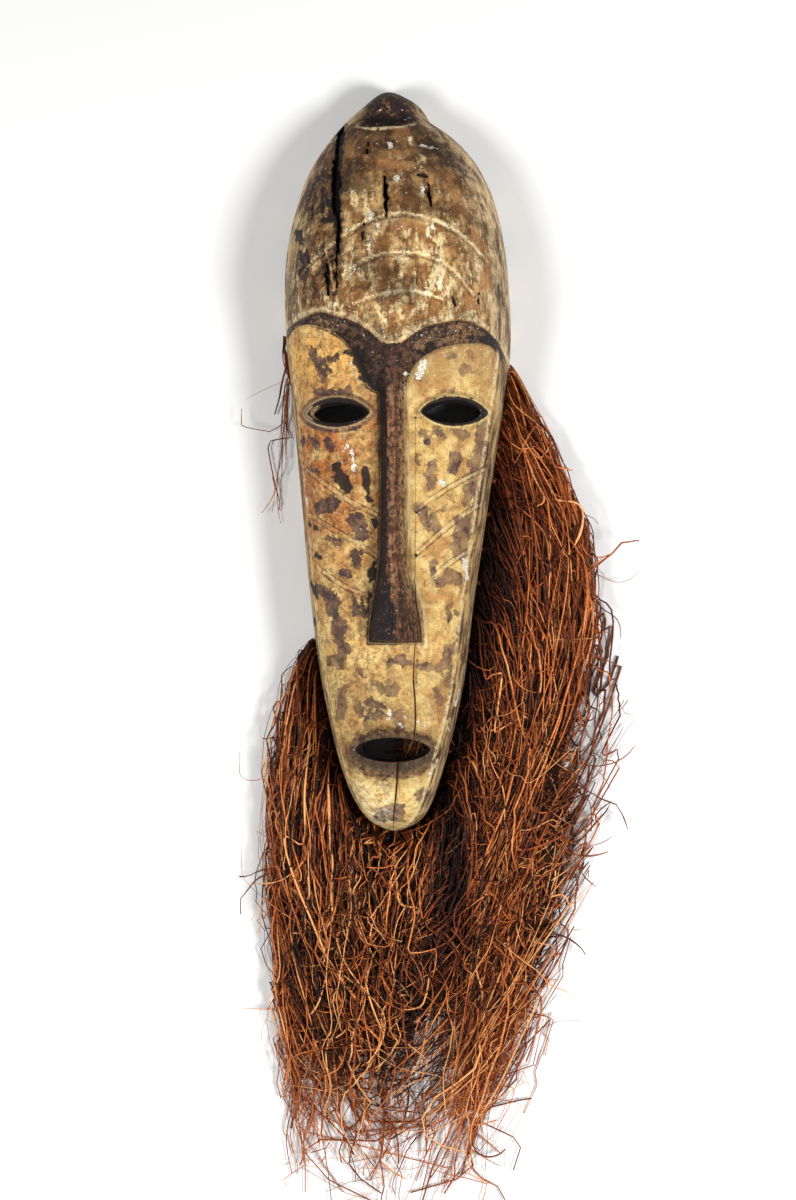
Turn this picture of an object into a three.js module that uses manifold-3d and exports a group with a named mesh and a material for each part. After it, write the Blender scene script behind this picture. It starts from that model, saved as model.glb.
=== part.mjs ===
// A tall carved mask in the Fang manner, hollowed from one block of light wood, with bunches of
// raffia knotted through holes along its back edge. The forehead is a high dome that ends in a
// small knob, two arched brows run down into one long nose, and the eyes and mouth are cut through.
// It lies on its open back: +Z points out of the face, +Y to the crown and +X to the viewer's right.
// The origin is on the flat back edge at the crown, in the middle of the wall. Units are millimetres.

import * as THREE from "three";
import { mergeVertices } from "three/addons/utils/BufferGeometryUtils.js";
import Module from "manifold-3d";

const wasm = await Module();
wasm.setup();

// The carved block
const CROWN_Y = 15;
const CHIN_Y = -662;
const CROWN_WALL = 20;
const WALL = 13;
const FACE_WALL = 15;

// The nose, a ridge with a squared end
const NOSE_END_Y = -485;
const NOSE_END_SLOPE = 12;

// The raffia: the holes are drilled along the back edge, and one bunch is knotted through each
const HOLE_RADIUS = 3.2;
const HOLE_HEIGHT = 12;
const NECK_RADIUS = 2.5;
const KNOT_RADIUS = 3.8;
const FIRST_HOLE_Y = -232;
const LAST_HOLE_Y = -482;
const RIGHT_BUNCHES = 9;
const CHIN_BUNCHES = 7;
const LEFT_BUNCHES = 5;
const BUNCH_GAP = 0.5;

// A smooth curve through [position, value] points, flat beyond its ends
function curveThrough(points) {
  const last = points.length - 1;
  const slopes = points.map((point, i) => {
    const before = points[Math.max(i - 1, 0)];
    const after = points[Math.min(i + 1, last)];
    return (after[1] - before[1]) / (after[0] - before[0]);
  });
  return (position) => {
    if (position <= points[0][0]) return points[0][1];
    if (position >= points[last][0]) return points[last][1];
    const k = points.findIndex((point) => point[0] > position) - 1;
    const [[p0, v0], [p1, v1]] = [points[k], points[k + 1]];
    const span = p1 - p0;
    const u = (position - p0) / span;
    const rise = 3 * u * u - 2 * u * u * u;
    const leave = u * (1 - u) * (1 - u);
    const arrive = u * u * (u - 1);
    return v0 + (v1 - v0) * rise + span * (slopes[k] * leave + slopes[k + 1] * arrive);
  };
}

// How far y is from crown to chin, as an angle share, in which both rounded ends become straight lines
const shareAlong = (y) => {
  const share = THREE.MathUtils.clamp((CROWN_Y - y) / (CROWN_Y - CHIN_Y), 0, 1);
  return Math.acos(1 - 2 * share) / Math.PI;
};
const yAtShare = (share) => CROWN_Y - ((CROWN_Y - CHIN_Y) * (1 - Math.cos(share * Math.PI))) / 2;
const alongMask = (points) => {
  const curve = curveThrough(points.map(([y, value]) => [shareAlong(y), value]));
  return (y) => curve(shareAlong(y));
};

// The outline seen from the front, carved a little unevenly: [y, x of the edge]
const leftEdge = alongMask([
  [CROWN_Y, -7], [12, -17], [2, -30], [-12, -46.5], [-27, -60], [-56, -79.5], [-85, -90.5],
  [-129, -100.5], [-174, -103], [-218, -100.5], [-266, -95.5], [-358, -87], [-450, -78.5],
  [-523, -68.5], [-560, -61], [-596, -52], [-615, -45.5], [-633, -37.5], [-643, -31.5],
  [-652, -23], [-657.5, -14.5], [CHIN_Y, -3],
]);
const rightEdge = alongMask([
  [CROWN_Y, -7], [12, 3], [7, 13], [2, 20.5], [-5, 26.5], [-13, 31.5], [-20, 41], [-28, 52],
  [-41, 65], [-56, 76], [-85, 89], [-130, 99], [-174, 103], [-218, 104], [-266, 98.5],
  [-358, 84.5], [-450, 71], [-523, 62], [-560, 54.5], [-597, 45], [-616, 39.5], [-634, 33],
  [-643, 28.5], [-652, 21], [-657.5, 11], [CHIN_Y, -3],
]);

// The profile seen from the side: [y, z of the middle], without the nose
const domeProfile = alongMask([
  [CROWN_Y, 0], [12, 27], [5, 42], [-3, 49], [-13, 54], [-24, 62], [-38, 72], [-66, 89],
  [-93, 101], [-136, 115], [-179, 123], [-210, 125], [-270, 119], [-360, 107], [-450, 97],
  [-522, 92], [-594, 88], [-622, 80], [-640, 67], [-650, 53], [-657, 34], [CHIN_Y, 0],
]);
// How much the face lies behind that profile: [y, depth of the recess]
const faceRecess = curveThrough([
  [-640, 0], [-560, 0], [-500, 3], [-440, 6], [-360, 11], [-310, 15], [-260, 18], [-205, 17],
  [-180, 8], [-150, 0],
]);
const faceProfile = (y) => domeProfile(y) - faceRecess(y);

// The brows: the forehead ends on the upper line and the face begins on the lower one, [x, y]
const browUpper = curveThrough([
  [-100, -207], [-81, -202], [-62, -198], [-45, -203], [-30, -209], [-17, -217.5], [-6, -227],
  [0, -231], [8, -228], [21, -218.5], [35, -211.5], [50, -208], [63, -206.5], [75, -209],
  [86, -215], [95, -225], [105, -240],
]);
const browLower = curveThrough([
  [-100, -217], [-81, -208], [-63.5, -210], [-46, -219], [-36, -229.5], [-27, -245],
  [-21, -262], [0, -270], [12, -264], [16, -253], [24, -241], [37, -232.5], [50, -228],
  [71, -225.5], [85.5, -226], [95, -236], [105, -256],
]);
const smoothStep = (u) => THREE.MathUtils.smoothstep(u, 0, 1);
const faceShare = (x, y) => smoothStep((browUpper(x) - y) / (browUpper(x) - browLower(x)));

// The nose: its middle, half width and crest, each [y, value]
const noseMiddle = curveThrough([[-486, 2.7], [-450, 2.5], [-415, 0.8], [-330, 0.7], [-230, -0.5]]);
const noseHalfWidth = curveThrough([
  [-486, 24], [-467, 22.5], [-450, 19.5], [-425, 14], [-400, 11.6], [-330, 10.7], [-262, 11.5],
  [-245, 14], [-228, 20],
]);
const noseCrest = curveThrough([
  [-486, 122], [-470, 124], [-440, 121], [-400, 118], [-330, 116], [-270, 116], [-240, 119],
  [-228, 123],
]);

// The scoop under the knob at the crown
const SCOOP_X = -12;
const SCOOP_Y = -24;
const SCOOP_HALF_WIDTH = 32;
const SCOOP_LENGTH = 21;
const SCOOP_DEPTH = 8;
function crownScoop(x, y) {
  const across = 1 - ((x - SCOOP_X) / SCOOP_HALF_WIDTH) ** 2;
  const along = 1 - (y - SCOOP_Y) / SCOOP_LENGTH;
  return SCOOP_DEPTH * Math.max(across, 0) * Math.max(along, 0) * smoothStep((y - SCOOP_Y + 3) / 3);
}

// The height of the carved front at a point of the plan. The dome grows squarer towards the brows,
// and the face is flatter still
const domeSquareness = curveThrough([[-260, 3.3], [-200, 3.2], [-130, 2.7], [-50, 2.3], [0, 2.2]]);
function frontHeight(x, y) {
  const [left, right] = [leftEdge(y), rightEdge(y)];
  const across = Math.min(Math.abs(2 * x - left - right) / Math.max(right - left, 1e-6), 1);
  const dome = domeProfile(y) * (1 - across ** domeSquareness(y)) ** 0.46;
  const face = faceProfile(y) * (1 - across ** 4.5) ** 0.385;
  const base = THREE.MathUtils.lerp(dome, face, faceShare(x, y));
  const fall = (Math.abs(x - noseMiddle(y)) / noseHalfWidth(y)) ** 2.2;
  const pastEnd = Math.max(NOSE_END_Y - y, 0) * NOSE_END_SLOPE;
  const nose = faceProfile(y) + (noseCrest(y) - faceProfile(y)) * (1 - fall) - pastEnd;
  const raised = y < -226 && nose > base ? nose : base;
  return Math.max(raised - crownScoop(x, y), 0);
}

// A closed solid from a list of triangles, each three points
function solidOf(triangles) {
  const geometry = new THREE.BufferGeometry().setFromPoints(triangles.flat());
  const merged = mergeVertices(geometry, 1e-3);
  const index = merged.index.array;
  const kept = [];
  for (let i = 0; i < index.length; i += 3) {
    const [a, b, c] = [index[i], index[i + 1], index[i + 2]];
    if (a !== b && b !== c && c !== a) kept.push(a, b, c);
  }
  const vertProperties = merged.getAttribute("position").array;
  return new wasm.Manifold(
    new wasm.Mesh({ numProp: 3, vertProperties, triVerts: new Uint32Array(kept) }),
  );
}

// The triangles between two rows of points, which face to the left of the way from row to row
function strip(rowA, rowB) {
  return rowA.slice(1).flatMap((_, i) => [
    [rowA[i], rowB[i], rowB[i + 1]],
    [rowA[i], rowB[i + 1], rowA[i + 1]],
  ]);
}

// A solid through closed rings of points, capped at both ends
function loft(rings) {
  const closed = rings.map((ring) => [...ring, ring[0]]);
  const sides = closed.slice(1).flatMap((ring, i) => strip(ring, closed[i]));
  const cap = (ring) => {
    const centre = ring.reduce((sum, p) => sum.clone().add(p)).divideScalar(ring.length);
    return ring.map((p, i) => [centre, p, ring[(i + 1) % ring.length]]);
  };
  const first = cap(rings[0]).map(([a, b, c]) => [a, c, b]);
  return solidOf([...sides, ...first, ...cap(rings.at(-1))]);
}

// A shell's surface: rows from crown to chin across a height, closed by the flat back
function moundSolid(rows) {
  const front = rows.slice(1).flatMap((row, i) => strip(rows[i], row));
  const back = rows.slice(1).flatMap((row, i) => {
    const [a, b] = [rows[i][0], rows[i].at(-1)];
    const [c, d] = [row[0], row.at(-1)];
    return [[a, b, d], [a, d, c]];
  });
  return solidOf([...front, ...back]);
}

// Rows run across the mask, closer together where the carving turns quickly. Between the two brow
// levels they bend along the brows: [y of the last row, rows so far from the one above]
const BROW_ABOVE = -165;
const BROW_UPPER = -214;
const BROW_LOWER = -236;
const BROW_BELOW = -300;
const BANDS = [
  [-17, 8], [-27, 3], [BROW_ABOVE, 8], [BROW_UPPER, 4], [BROW_LOWER, 3], [BROW_BELOW, 6],
  [-430, 6], [NOSE_END_Y, 4], [NOSE_END_Y - 3, 1], [-560, 4], [-606, 4], [-645, 4], [CHIN_Y, 5],
];
function rowLevels() {
  const shares = [0];
  for (const [y, rows] of BANDS) {
    const start = shares.at(-1);
    for (let i = 1; i <= rows; i++) shares.push(start + ((shareAlong(y) - start) * i) / rows);
  }
  return shares.map(yAtShare);
}
function bentToBrows(level, x) {
  const bends = [
    [BROW_BELOW, BROW_BELOW], [BROW_LOWER, browLower(x)], [BROW_UPPER, browUpper(x)],
    [BROW_ABOVE, BROW_ABOVE],
  ];
  const k = bends.findIndex(([at], i) => i && level <= at + 1e-6);
  if (level < BROW_BELOW || k < 1) return level;
  return THREE.MathUtils.mapLinear(level, bends[k - 1][0], bends[k][0], bends[k - 1][1], bends[k][1]);
}

// Places across a row: the side walls, the cheeks, and the nose between them
const SIDE = [1, 0.998, 0.985];
const CHEEK = [0, 0.14, 0.32, 0.55, 0.78];
const NOSE = [1, 0.85, 0.45];
function placesAcross(y) {
  const [left, right] = [leftEdge(y), rightEdge(y)];
  const middle = (left + right) / 2;
  const half = (right - left) / 2;
  const noseShare = Math.min(noseHalfWidth(y) / half, 0.45);
  const nose = THREE.MathUtils.clamp((noseMiddle(y) - middle) / Math.max(half, 1), -0.2, 0.2);
  const halfRow = (sign) => {
    const start = nose + sign * noseShare;
    return [
      ...SIDE.map((s) => sign * s),
      ...CHEEK.map((u) => THREE.MathUtils.lerp(sign * 0.95, start, u)),
      ...NOSE.map((u) => nose + sign * noseShare * u),
    ];
  };
  return [...halfRow(-1), nose, ...halfRow(1).reverse()].map((s) => middle + s * half);
}
function rowPoints(level) {
  return placesAcross(level).map((start, k) => {
    let [x, y] = [start, level];
    for (let pass = 0; pass < 3; pass++) {
      y = bentToBrows(level, x);
      x = placesAcross(y)[k];
    }
    return new THREE.Vector3(x, y, frontHeight(x, y));
  });
}
const carvedBlock = () => moundSolid(rowLevels().map(rowPoints));

// The hollow behind the face follows it a wall's thickness inside, and is open at the back
const HOLLOW_ROWS = 20;
const HOLLOW_PLACES = [-1, -0.985, -0.92, -0.75, -0.45, 0, 0.45, 0.75, 0.92, 0.985, 1];
const BELOW_BACK = -2;
const thinned = (size, wall) => size - (wall * size) / (size + 8);
function hollow() {
  const rows = [];
  for (let i = 0; i <= HOLLOW_ROWS; i++) {
    const outer = yAtShare(i / HOLLOW_ROWS);
    const y = THREE.MathUtils.mapLinear(outer, CROWN_Y, CHIN_Y, CROWN_Y - CROWN_WALL, CHIN_Y + WALL);
    const [left, right] = [leftEdge(outer), rightEdge(outer)];
    const half = thinned((right - left) / 2, WALL + 1);
    const depth = thinned(faceProfile(outer), FACE_WALL);
    rows.push(HOLLOW_PLACES.map((s) => {
      const z = depth * (1 - Math.abs(s) ** 3.2) ** 0.42;
      return new THREE.Vector3((left + right) / 2 + s * half, y, z + BELOW_BACK * (1 - z / 120));
    }));
  }
  return moundSolid(rows);
}

// An almond or an oval around a place on the face
const RING_SIDES = 16;
function almond(centre, halfLength, halfHeight, sharpness) {
  return Array.from({ length: RING_SIDES }, (_, i) => {
    const angle = (2 * Math.PI * i) / RING_SIDES;
    const [c, s] = [Math.cos(angle), Math.sin(angle)];
    return new THREE.Vector2(
      centre.x + halfLength * c,
      centre.y + halfHeight * Math.sign(s) * Math.abs(s) ** sharpness,
    );
  });
}
const onFace = (points, lift) => points.map((p) => new THREE.Vector3(p.x, p.y, frontHeight(p.x, p.y) + lift));
const atHeight = (points, z) => points.map((p) => new THREE.Vector3(p.x, p.y, z));

// Each opening has a raised lip and a hole that narrows inwards
const OPENINGS = [
  { centre: new THREE.Vector2(-48.5, -285), lip: [31, 14.5], hole: [28.5, 9.5], inner: [22, 8.5], rise: 3, sharpness: 1.35 },
  { centre: new THREE.Vector2(55, -284.5), lip: [31, 14.5], hole: [28.5, 10.5], inner: [22.5, 9], rise: 3, sharpness: 1.35 },
  { centre: new THREE.Vector2(0.8, -582), lip: [44, 23], hole: [34, 12], inner: [30, 10.5], rise: 6, sharpness: 1.15 },
];
function raisedLip({ centre, lip, rise, sharpness }) {
  const ring = (scale) => almond(centre, lip[0] * scale, lip[1] * scale, sharpness);
  return loft([
    onFace(ring(1.04), -6),
    onFace(ring(0.9), rise * 0.8),
    onFace(ring(0.78), rise),
    onFace(ring(0.3), rise),
  ]);
}
function openingCutter({ centre, hole, inner, sharpness }) {
  const face = frontHeight(centre.x, centre.y);
  const ring = (grow) => almond(centre, hole[0] * grow, hole[1] * grow, sharpness);
  return loft([
    atHeight(almond(centre, inner[0], inner[1], sharpness), face - 45),
    atHeight(almond(centre, inner[0], inner[1], sharpness), face - 16),
    atHeight(ring(1), face - 3),
    atHeight(ring(1.06), face + 12),
  ]);
}

// A cut along a line of plan points on the front, with a width that may taper to its ends. It is
// wedge-shaped, and reaches over the surface so that it leaves no splinter
const CUT_LIFT = 4;
function cutAlong(points, { width, depth, tapered }) {
  const path = new THREE.CatmullRomCurve3(points.map(([x, y]) => new THREE.Vector3(x, y, 0)));
  const steps = Math.max(3, Math.round(path.getLength() / 20));
  const rings = [];
  for (let i = 0; i <= steps; i++) {
    const u = i / steps;
    const at = path.getPointAt(u);
    const way = path.getTangentAt(u);
    const side = new THREE.Vector3(way.y, -way.x, 0);
    const share = tapered ? Math.max(Math.sin(Math.PI * u), 0.04) ** 0.6 : 1;
    const flare = 1 + CUT_LIFT / (depth * share);
    const surface = frontHeight(at.x, at.y);
    const edge = (sign) => {
      const p = at.clone().addScaledVector(side, (sign * share * width * flare) / 2);
      return p.setZ(Math.max(frontHeight(p.x, p.y), surface) + CUT_LIFT);
    };
    rings.push([edge(1), at.clone().setZ(surface - depth * share), edge(-1)]);
  }
  return loft(rings);
}

// Incised lines: three arcs on the forehead and three slanting lines on each cheek
const LINE = { width: 2.8, depth: 1.5 };
const INCISED = [
  [[-68, -150], [-40, -130], [-3, -114], [35, -118], [69, -134], [87, -153]],
  [[-41, -167], [-9, -150], [25, -151], [54, -164], [73, -185]],
  [[-21, -191], [9, -183], [40, -190]],
  [[24, -369], [49, -352], [85, -331]],
  [[20, -411], [53, -382], [83, -361]],
  [[30, -436], [51, -417], [75, -401]],
  [[-77, -334], [-37, -363], [-14, -375]],
  [[-75, -374], [-31, -400], [-12, -413]],
  [[-68, -420], [-45, -436], [-23, -446]],
];
// Splits along the grain: one wide and rotten on the left of the dome, short checks, and the mouth's
const SPLITS = [
  { line: [[-45, -34], [-50, -62], [-54, -95], [-50, -121], [-49, -146]], width: 9, depth: 13 },
  { line: [[-6, -78], [-4, -96], [-3, -114]], width: 4.5, depth: 9 },
  { line: [[32, -87], [34, -106]], width: 3, depth: 6 },
  { line: [[-58, -153], [-56, -183]], width: 4, depth: 6 },
  { line: [[19, -491], [21, -500], [18.5, -520], [21, -538], [19.5, -566]], width: 2, depth: 9 },
  { line: [[5, -590], [4, -604], [2.5, -628], [-1, -656]], width: 2.4, depth: 10 },
];

// The outline as a path from the first hole on the right, round the chin, to the last on the left
function backEdgePath() {
  const points = [];
  const step = 0.004;
  const first = shareAlong(FIRST_HOLE_Y);
  const last = shareAlong(LAST_HOLE_Y);
  for (let share = first; share < 1; share += step) {
    const y = yAtShare(share);
    points.push(new THREE.Vector3(rightEdge(y), y, 0));
  }
  for (let share = 1; share > last; share -= step) {
    const y = yAtShare(share);
    points.push(new THREE.Vector3(leftEdge(y), y, 0));
  }
  return new THREE.CatmullRomCurve3(points);
}
const backEdge = backEdgePath();
const BUNCHES = RIGHT_BUNCHES + CHIN_BUNCHES + LEFT_BUNCHES;
const outwardAt = (share) => {
  const way = backEdge.getTangentAt(share);
  return new THREE.Vector3(-way.y, way.x, 0);
};
const holes = Array.from({ length: BUNCHES }, (_, i) => {
  const share = (i + 0.5) / BUNCHES;
  return { at: backEdge.getPointAt(share), out: outwardAt(share) };
});
// One more hole, high on the left, holds a thin wisp
const WISP_Y = -210;
const wispHole = { at: new THREE.Vector3(leftEdge(WISP_Y), WISP_Y, 0), out: new THREE.Vector3(-1, 0, 0) };

function roundRing(centre, along, radius, sides, turn = 0) {
  const across = new THREE.Vector3(-along.y, along.x, 0);
  return Array.from({ length: sides }, (_, i) => {
    const angle = turn + (2 * Math.PI * i) / sides;
    const p = centre.clone().addScaledVector(across, radius * Math.cos(angle));
    p.z += radius * Math.sin(angle);
    return p;
  });
}
function holeCutter({ at, out }) {
  const ring = (distance) => {
    const centre = at.clone().addScaledVector(out, distance).setZ(HOLE_HEIGHT);
    return roundRing(centre, out, HOLE_RADIUS, 6);
  };
  return loft([ring(-WALL - 12), ring(6)]);
}

function carvedMask() {
  let mask = carvedBlock();
  for (const opening of OPENINGS) mask = mask.add(raisedLip(opening));
  mask = mask.subtract(hollow());
  for (const opening of OPENINGS) mask = mask.subtract(openingCutter(opening));
  for (const line of INCISED) mask = mask.subtract(cutAlong(line, LINE));
  for (const { line, width, depth } of SPLITS) {
    mask = mask.subtract(cutAlong(line, { width, depth, tapered: true }));
  }
  for (const hole of [...holes, wispHole]) mask = mask.subtract(holeCutter(hole));
  return mask;
}

// The raffia spreads over the surface that the mask lies on. Partings run from the back edge to the
// hem, and each bunch fills the space between two of them. Each row has a parting's share of the
// way round the back edge, the two places that draw it sideways, and where it ends: [x, y].
const PARTINGS = [
  { share: 0, lead: [285, -560], swell: [194, -594], hem: [122, -960] },
  { share: 0.2, lead: [205, -600], swell: [156, -690], hem: [88, -980] },
  { share: 0.44, lead: [118, -620], swell: [106, -790], hem: [45, -992] },
  { share: 0.6, lead: [72, -650], swell: [52, -850], hem: [14, -995] },
  { share: 0.71, lead: [0, -700], swell: [-4, -880], hem: [-10, -998] },
  { share: 0.78, lead: [-50, -690], swell: [-48, -860], hem: [-38, -995] },
  { share: 0.9, lead: [-105, -640], swell: [-90, -830], hem: [-82, -985] },
  { share: 1, lead: [-152, -540], swell: [-112, -820], hem: [-114, -965] },
];
// The bunches stand a little further off where the edge curves round the chin
const edgeClearance = curveThrough([[0.5, 2], [0.6, 4], [0.68, 7.5], [0.74, 7.5], [0.8, 4], [0.9, 2]]);
function placeCurve(key) {
  const [x, y] = [0, 1].map((k) => curveThrough(PARTINGS.map((row) => [row.share, row[key][k]])));
  return (share) => new THREE.Vector3(x(share), y(share), 0);
}
const [leadAt, swellAt, hemAt] = ["lead", "swell", "hem"].map(placeCurve);
function parting(share) {
  const clearance = edgeClearance(share);
  const start = backEdge.getPointAt(share).addScaledVector(outwardAt(share), clearance);
  return new THREE.CubicBezierCurve3(start, leadAt(share), swellAt(share), hemAt(share));
}

// A bunch's cross-section: flat below, and two locks with a furrow between them above
const SECTION = [[-1, 0], [1, 0], [0.62, 1], [0, 0.7], [-0.62, 1]];
const KNOT_ANGLES = [-126, -54, 18, 90, 162].map(THREE.MathUtils.degToRad);
const sectionRing = (centre, across, halfWidth, height) =>
  SECTION.map(([u, v]) => centre.clone().addScaledVector(across, u * halfWidth).setZ(v * height));

const BUNCH_STEPS = 8;
const FIRST_STEP = 0.01;
const bunchHeight = curveThrough([[0, 15], [0.12, 24], [0.35, 25], [0.6, 19], [0.85, 10], [1, 3]]);
function bunchRings(hole, left, right, reach) {
  const edgeWay = new THREE.Vector3(-hole.out.y, hole.out.x, 0).negate();
  const knotAt = (distance, radius) => {
    const centre = hole.at.clone().addScaledVector(hole.out, distance).setZ(HOLE_HEIGHT);
    return KNOT_ANGLES.map((angle) => {
      const p = centre.clone().addScaledVector(edgeWay, Math.cos(angle) * radius);
      return p.setZ(HOLE_HEIGHT + Math.sin(angle) * radius);
    });
  };
  const inner = -WALL - 4.5;
  const rings = [
    knotAt(inner - 6, KNOT_RADIUS * 0.6),
    knotAt(inner - 3.5, KNOT_RADIUS),
    knotAt(inner, NECK_RADIUS),
    knotAt(1, NECK_RADIUS),
  ];
  for (let i = 1; i <= BUNCH_STEPS; i++) {
    const u = (i - 1) / (BUNCH_STEPS - 1);
    const t = Math.min(FIRST_STEP + (1 - FIRST_STEP) * u ** 1.2, reach);
    const [a, b] = [left.getPoint(t), right.getPoint(t)];
    const across = b.clone().sub(a);
    const spread = across.length();
    across.normalize();
    const centre = a.clone().lerp(b, 0.5);
    const taper = Math.min(1, (1 - u) * 3 + 0.28);
    const halfWidth = Math.max(spread / 2 - BUNCH_GAP, 0.6) * taper;
    rings.push(sectionRing(centre, across, halfWidth, bunchHeight(u)));
  }
  return rings.reverse();
}

// How far down its parting each bunch reaches, so that the hem is ragged
const raggedReach = (i) => 0.93 + 0.07 * Math.sin(2.4 * i + 0.6);
function bunch(i) {
  const left = parting(i / BUNCHES);
  const right = parting((i + 1) / BUNCHES);
  return loft(bunchRings(holes[i], left, right, raggedReach(i)));
}
function wisp() {
  const { at } = wispHole;
  const edge = (offset, end) => new THREE.CubicBezierCurve3(
    at.clone().add(new THREE.Vector3(-2, offset, 0)),
    at.clone().add(new THREE.Vector3(-18, offset - 10, 0)),
    new THREE.Vector3(-116 + end, -300, 0),
    new THREE.Vector3(-124 + end, -398, 0),
  );
  return loft(bunchRings(wispHole, edge(-4, 3), edge(4, -3), 1));
}

// Joining and cutting leave hair-thin facets. Their short sides are closed up, and a flat one and
// its neighbour are divided along their other diagonal
const SHORTEST_SIDE = 0.03;
const THINNEST_FACET = 0.02;
function tidyFacets({ vertProperties, triVerts }) {
  const point = (i) => new THREE.Vector3().fromArray(vertProperties, 3 * i);
  const sides = ([a, b, c]) => [[a, b, c], [b, c, a], [c, a, b]];
  const length = ([a, b]) => point(a).distanceTo(point(b));
  const longest = (face) => sides(face).reduce((best, side) => (length(side) > length(best) ? side : best));
  const triangle = (face) => new THREE.Triangle(...face.map(point));
  const thickness = (face) => (2 * triangle(face).getArea()) / length(longest(face));
  const normal = (face) => triangle(face).getNormal(new THREE.Vector3());

  let faces = Array.from({ length: triVerts.length / 3 }, (_, i) => [...triVerts.slice(3 * i, 3 * i + 3)]);
  for (;;) {
    const short = faces.flatMap(sides).find((side) => length(side) < SHORTEST_SIDE);
    if (!short) break;
    const [kept, closed] = short;
    faces = faces.map((face) => face.map((i) => (i === closed ? kept : i)));
    faces = faces.filter((face) => new Set(face).size === 3);
  }

  const owner = new Map();
  const own = (i) => sides(faces[i]).forEach(([a, b]) => owner.set(`${a} ${b}`, i));
  faces.forEach((_, i) => own(i));
  for (let pass = 0; pass < 3; pass++) {
    faces.forEach((face, i) => {
      if (thickness(face) > THINNEST_FACET) return;
      const [a, b, c] = longest(face);
      const j = owner.get(`${b} ${a}`);
      const d = faces[j].find((k) => k !== a && k !== b);
      const turned = [[a, d, c], [d, b, c]];
      const old = Math.min(thickness(face), thickness(faces[j]));
      const better = Math.min(...turned.map(thickness)) > old;
      const flat = turned.every((made) => normal(made).dot(normal(faces[j])) > 0.5);
      if (!better || !flat || owner.has(`${c} ${d}`) || owner.has(`${d} ${c}`)) return;
      owner.delete(`${a} ${b}`);
      owner.delete(`${b} ${a}`);
      [faces[i], faces[j]] = turned;
      own(i);
      own(j);
    });
  }
  return { vertProperties, triVerts: faces.flat() };
}

const WOOD = new THREE.MeshStandardMaterial({ color: 0xb08a4e, roughness: 0.62, metalness: 0 });
const RAFFIA = new THREE.MeshStandardMaterial({ color: 0x8a4a20, roughness: 0.8, metalness: 0 });
function meshOf(name, solid, material) {
  const made = tidyFacets(solid.getMesh());
  const geometry = new THREE.BufferGeometry();
  geometry.setAttribute("position", new THREE.BufferAttribute(new Float32Array(made.vertProperties), 3));
  geometry.setIndex(new THREE.BufferAttribute(new Uint32Array(made.triVerts), 1));
  geometry.computeVertexNormals();
  const mesh = new THREE.Mesh(geometry, material);
  mesh.name = name;
  return mesh;
}

function bunchName(i) {
  if (i < RIGHT_BUNCHES) return `raffia_right_${i + 1}`;
  if (i < RIGHT_BUNCHES + CHIN_BUNCHES) return `raffia_chin_${i - RIGHT_BUNCHES + 1}`;
  return `raffia_left_${i - RIGHT_BUNCHES - CHIN_BUNCHES + 1}`;
}

const mask = new THREE.Group();
mask.add(meshOf("carved_mask", carvedMask(), WOOD));
const raffia = new THREE.Group();
for (let i = 0; i < BUNCHES; i++) raffia.add(meshOf(bunchName(i), bunch(i), RAFFIA));
raffia.add(meshOf("raffia_wisp", wisp(), RAFFIA));
mask.add(raffia);

export default mask;
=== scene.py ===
"""A tall carved mask with a raffia beard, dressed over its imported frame.

Lengths in the tables are millimetres in the part's own frame: +X to the viewer's right, +Y to the
crown, +Z out of the face. Every mesh is made in metres.
"""

import math
from collections import namedtuple

import bpy
import numpy as np
from bpy.props import FloatProperty, FloatVectorProperty, IntProperty, PointerProperty
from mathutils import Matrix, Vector, kdtree


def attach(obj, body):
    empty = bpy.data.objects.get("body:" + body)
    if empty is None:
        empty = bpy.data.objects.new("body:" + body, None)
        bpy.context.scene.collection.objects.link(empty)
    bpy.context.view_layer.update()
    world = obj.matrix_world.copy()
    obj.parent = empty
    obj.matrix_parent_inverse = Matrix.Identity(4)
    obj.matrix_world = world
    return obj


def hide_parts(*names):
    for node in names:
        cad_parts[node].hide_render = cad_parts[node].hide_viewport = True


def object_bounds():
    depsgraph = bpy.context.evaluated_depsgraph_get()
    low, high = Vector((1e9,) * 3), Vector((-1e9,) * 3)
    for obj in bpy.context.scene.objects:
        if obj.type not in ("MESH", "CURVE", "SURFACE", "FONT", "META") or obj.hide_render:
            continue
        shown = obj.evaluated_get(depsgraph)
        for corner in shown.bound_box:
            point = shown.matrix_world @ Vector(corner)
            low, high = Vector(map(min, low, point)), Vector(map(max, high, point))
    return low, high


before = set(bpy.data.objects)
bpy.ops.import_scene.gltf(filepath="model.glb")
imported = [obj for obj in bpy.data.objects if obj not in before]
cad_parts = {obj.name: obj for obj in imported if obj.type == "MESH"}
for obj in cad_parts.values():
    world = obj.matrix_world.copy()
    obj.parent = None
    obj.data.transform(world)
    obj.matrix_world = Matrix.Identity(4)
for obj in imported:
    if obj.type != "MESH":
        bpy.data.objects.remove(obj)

CAD_BOX = [list(corner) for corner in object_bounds()]

bl_info = {
    "name": "Carved mask with a raffia beard",
    "version": (1, 0, 0),
    "blender": (4, 5, 0),
    "location": "View3D > Sidebar > Mask",
    "description": "Builds a tall painted wooden mask and the raffia tied along its edge",
    "category": "Object",
}

MM = 0.001

# The shape that the part's source gives

CROWN_Y, CHIN_Y = 15.0, -662.0
CROWN_WALL, WALL, FACE_WALL = 20.0, 13.0, 15.0
NOSE_TOP_Y, NOSE_END_Y, NOSE_END_SLOPE = -226.0, -485.0, 12.0


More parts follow.
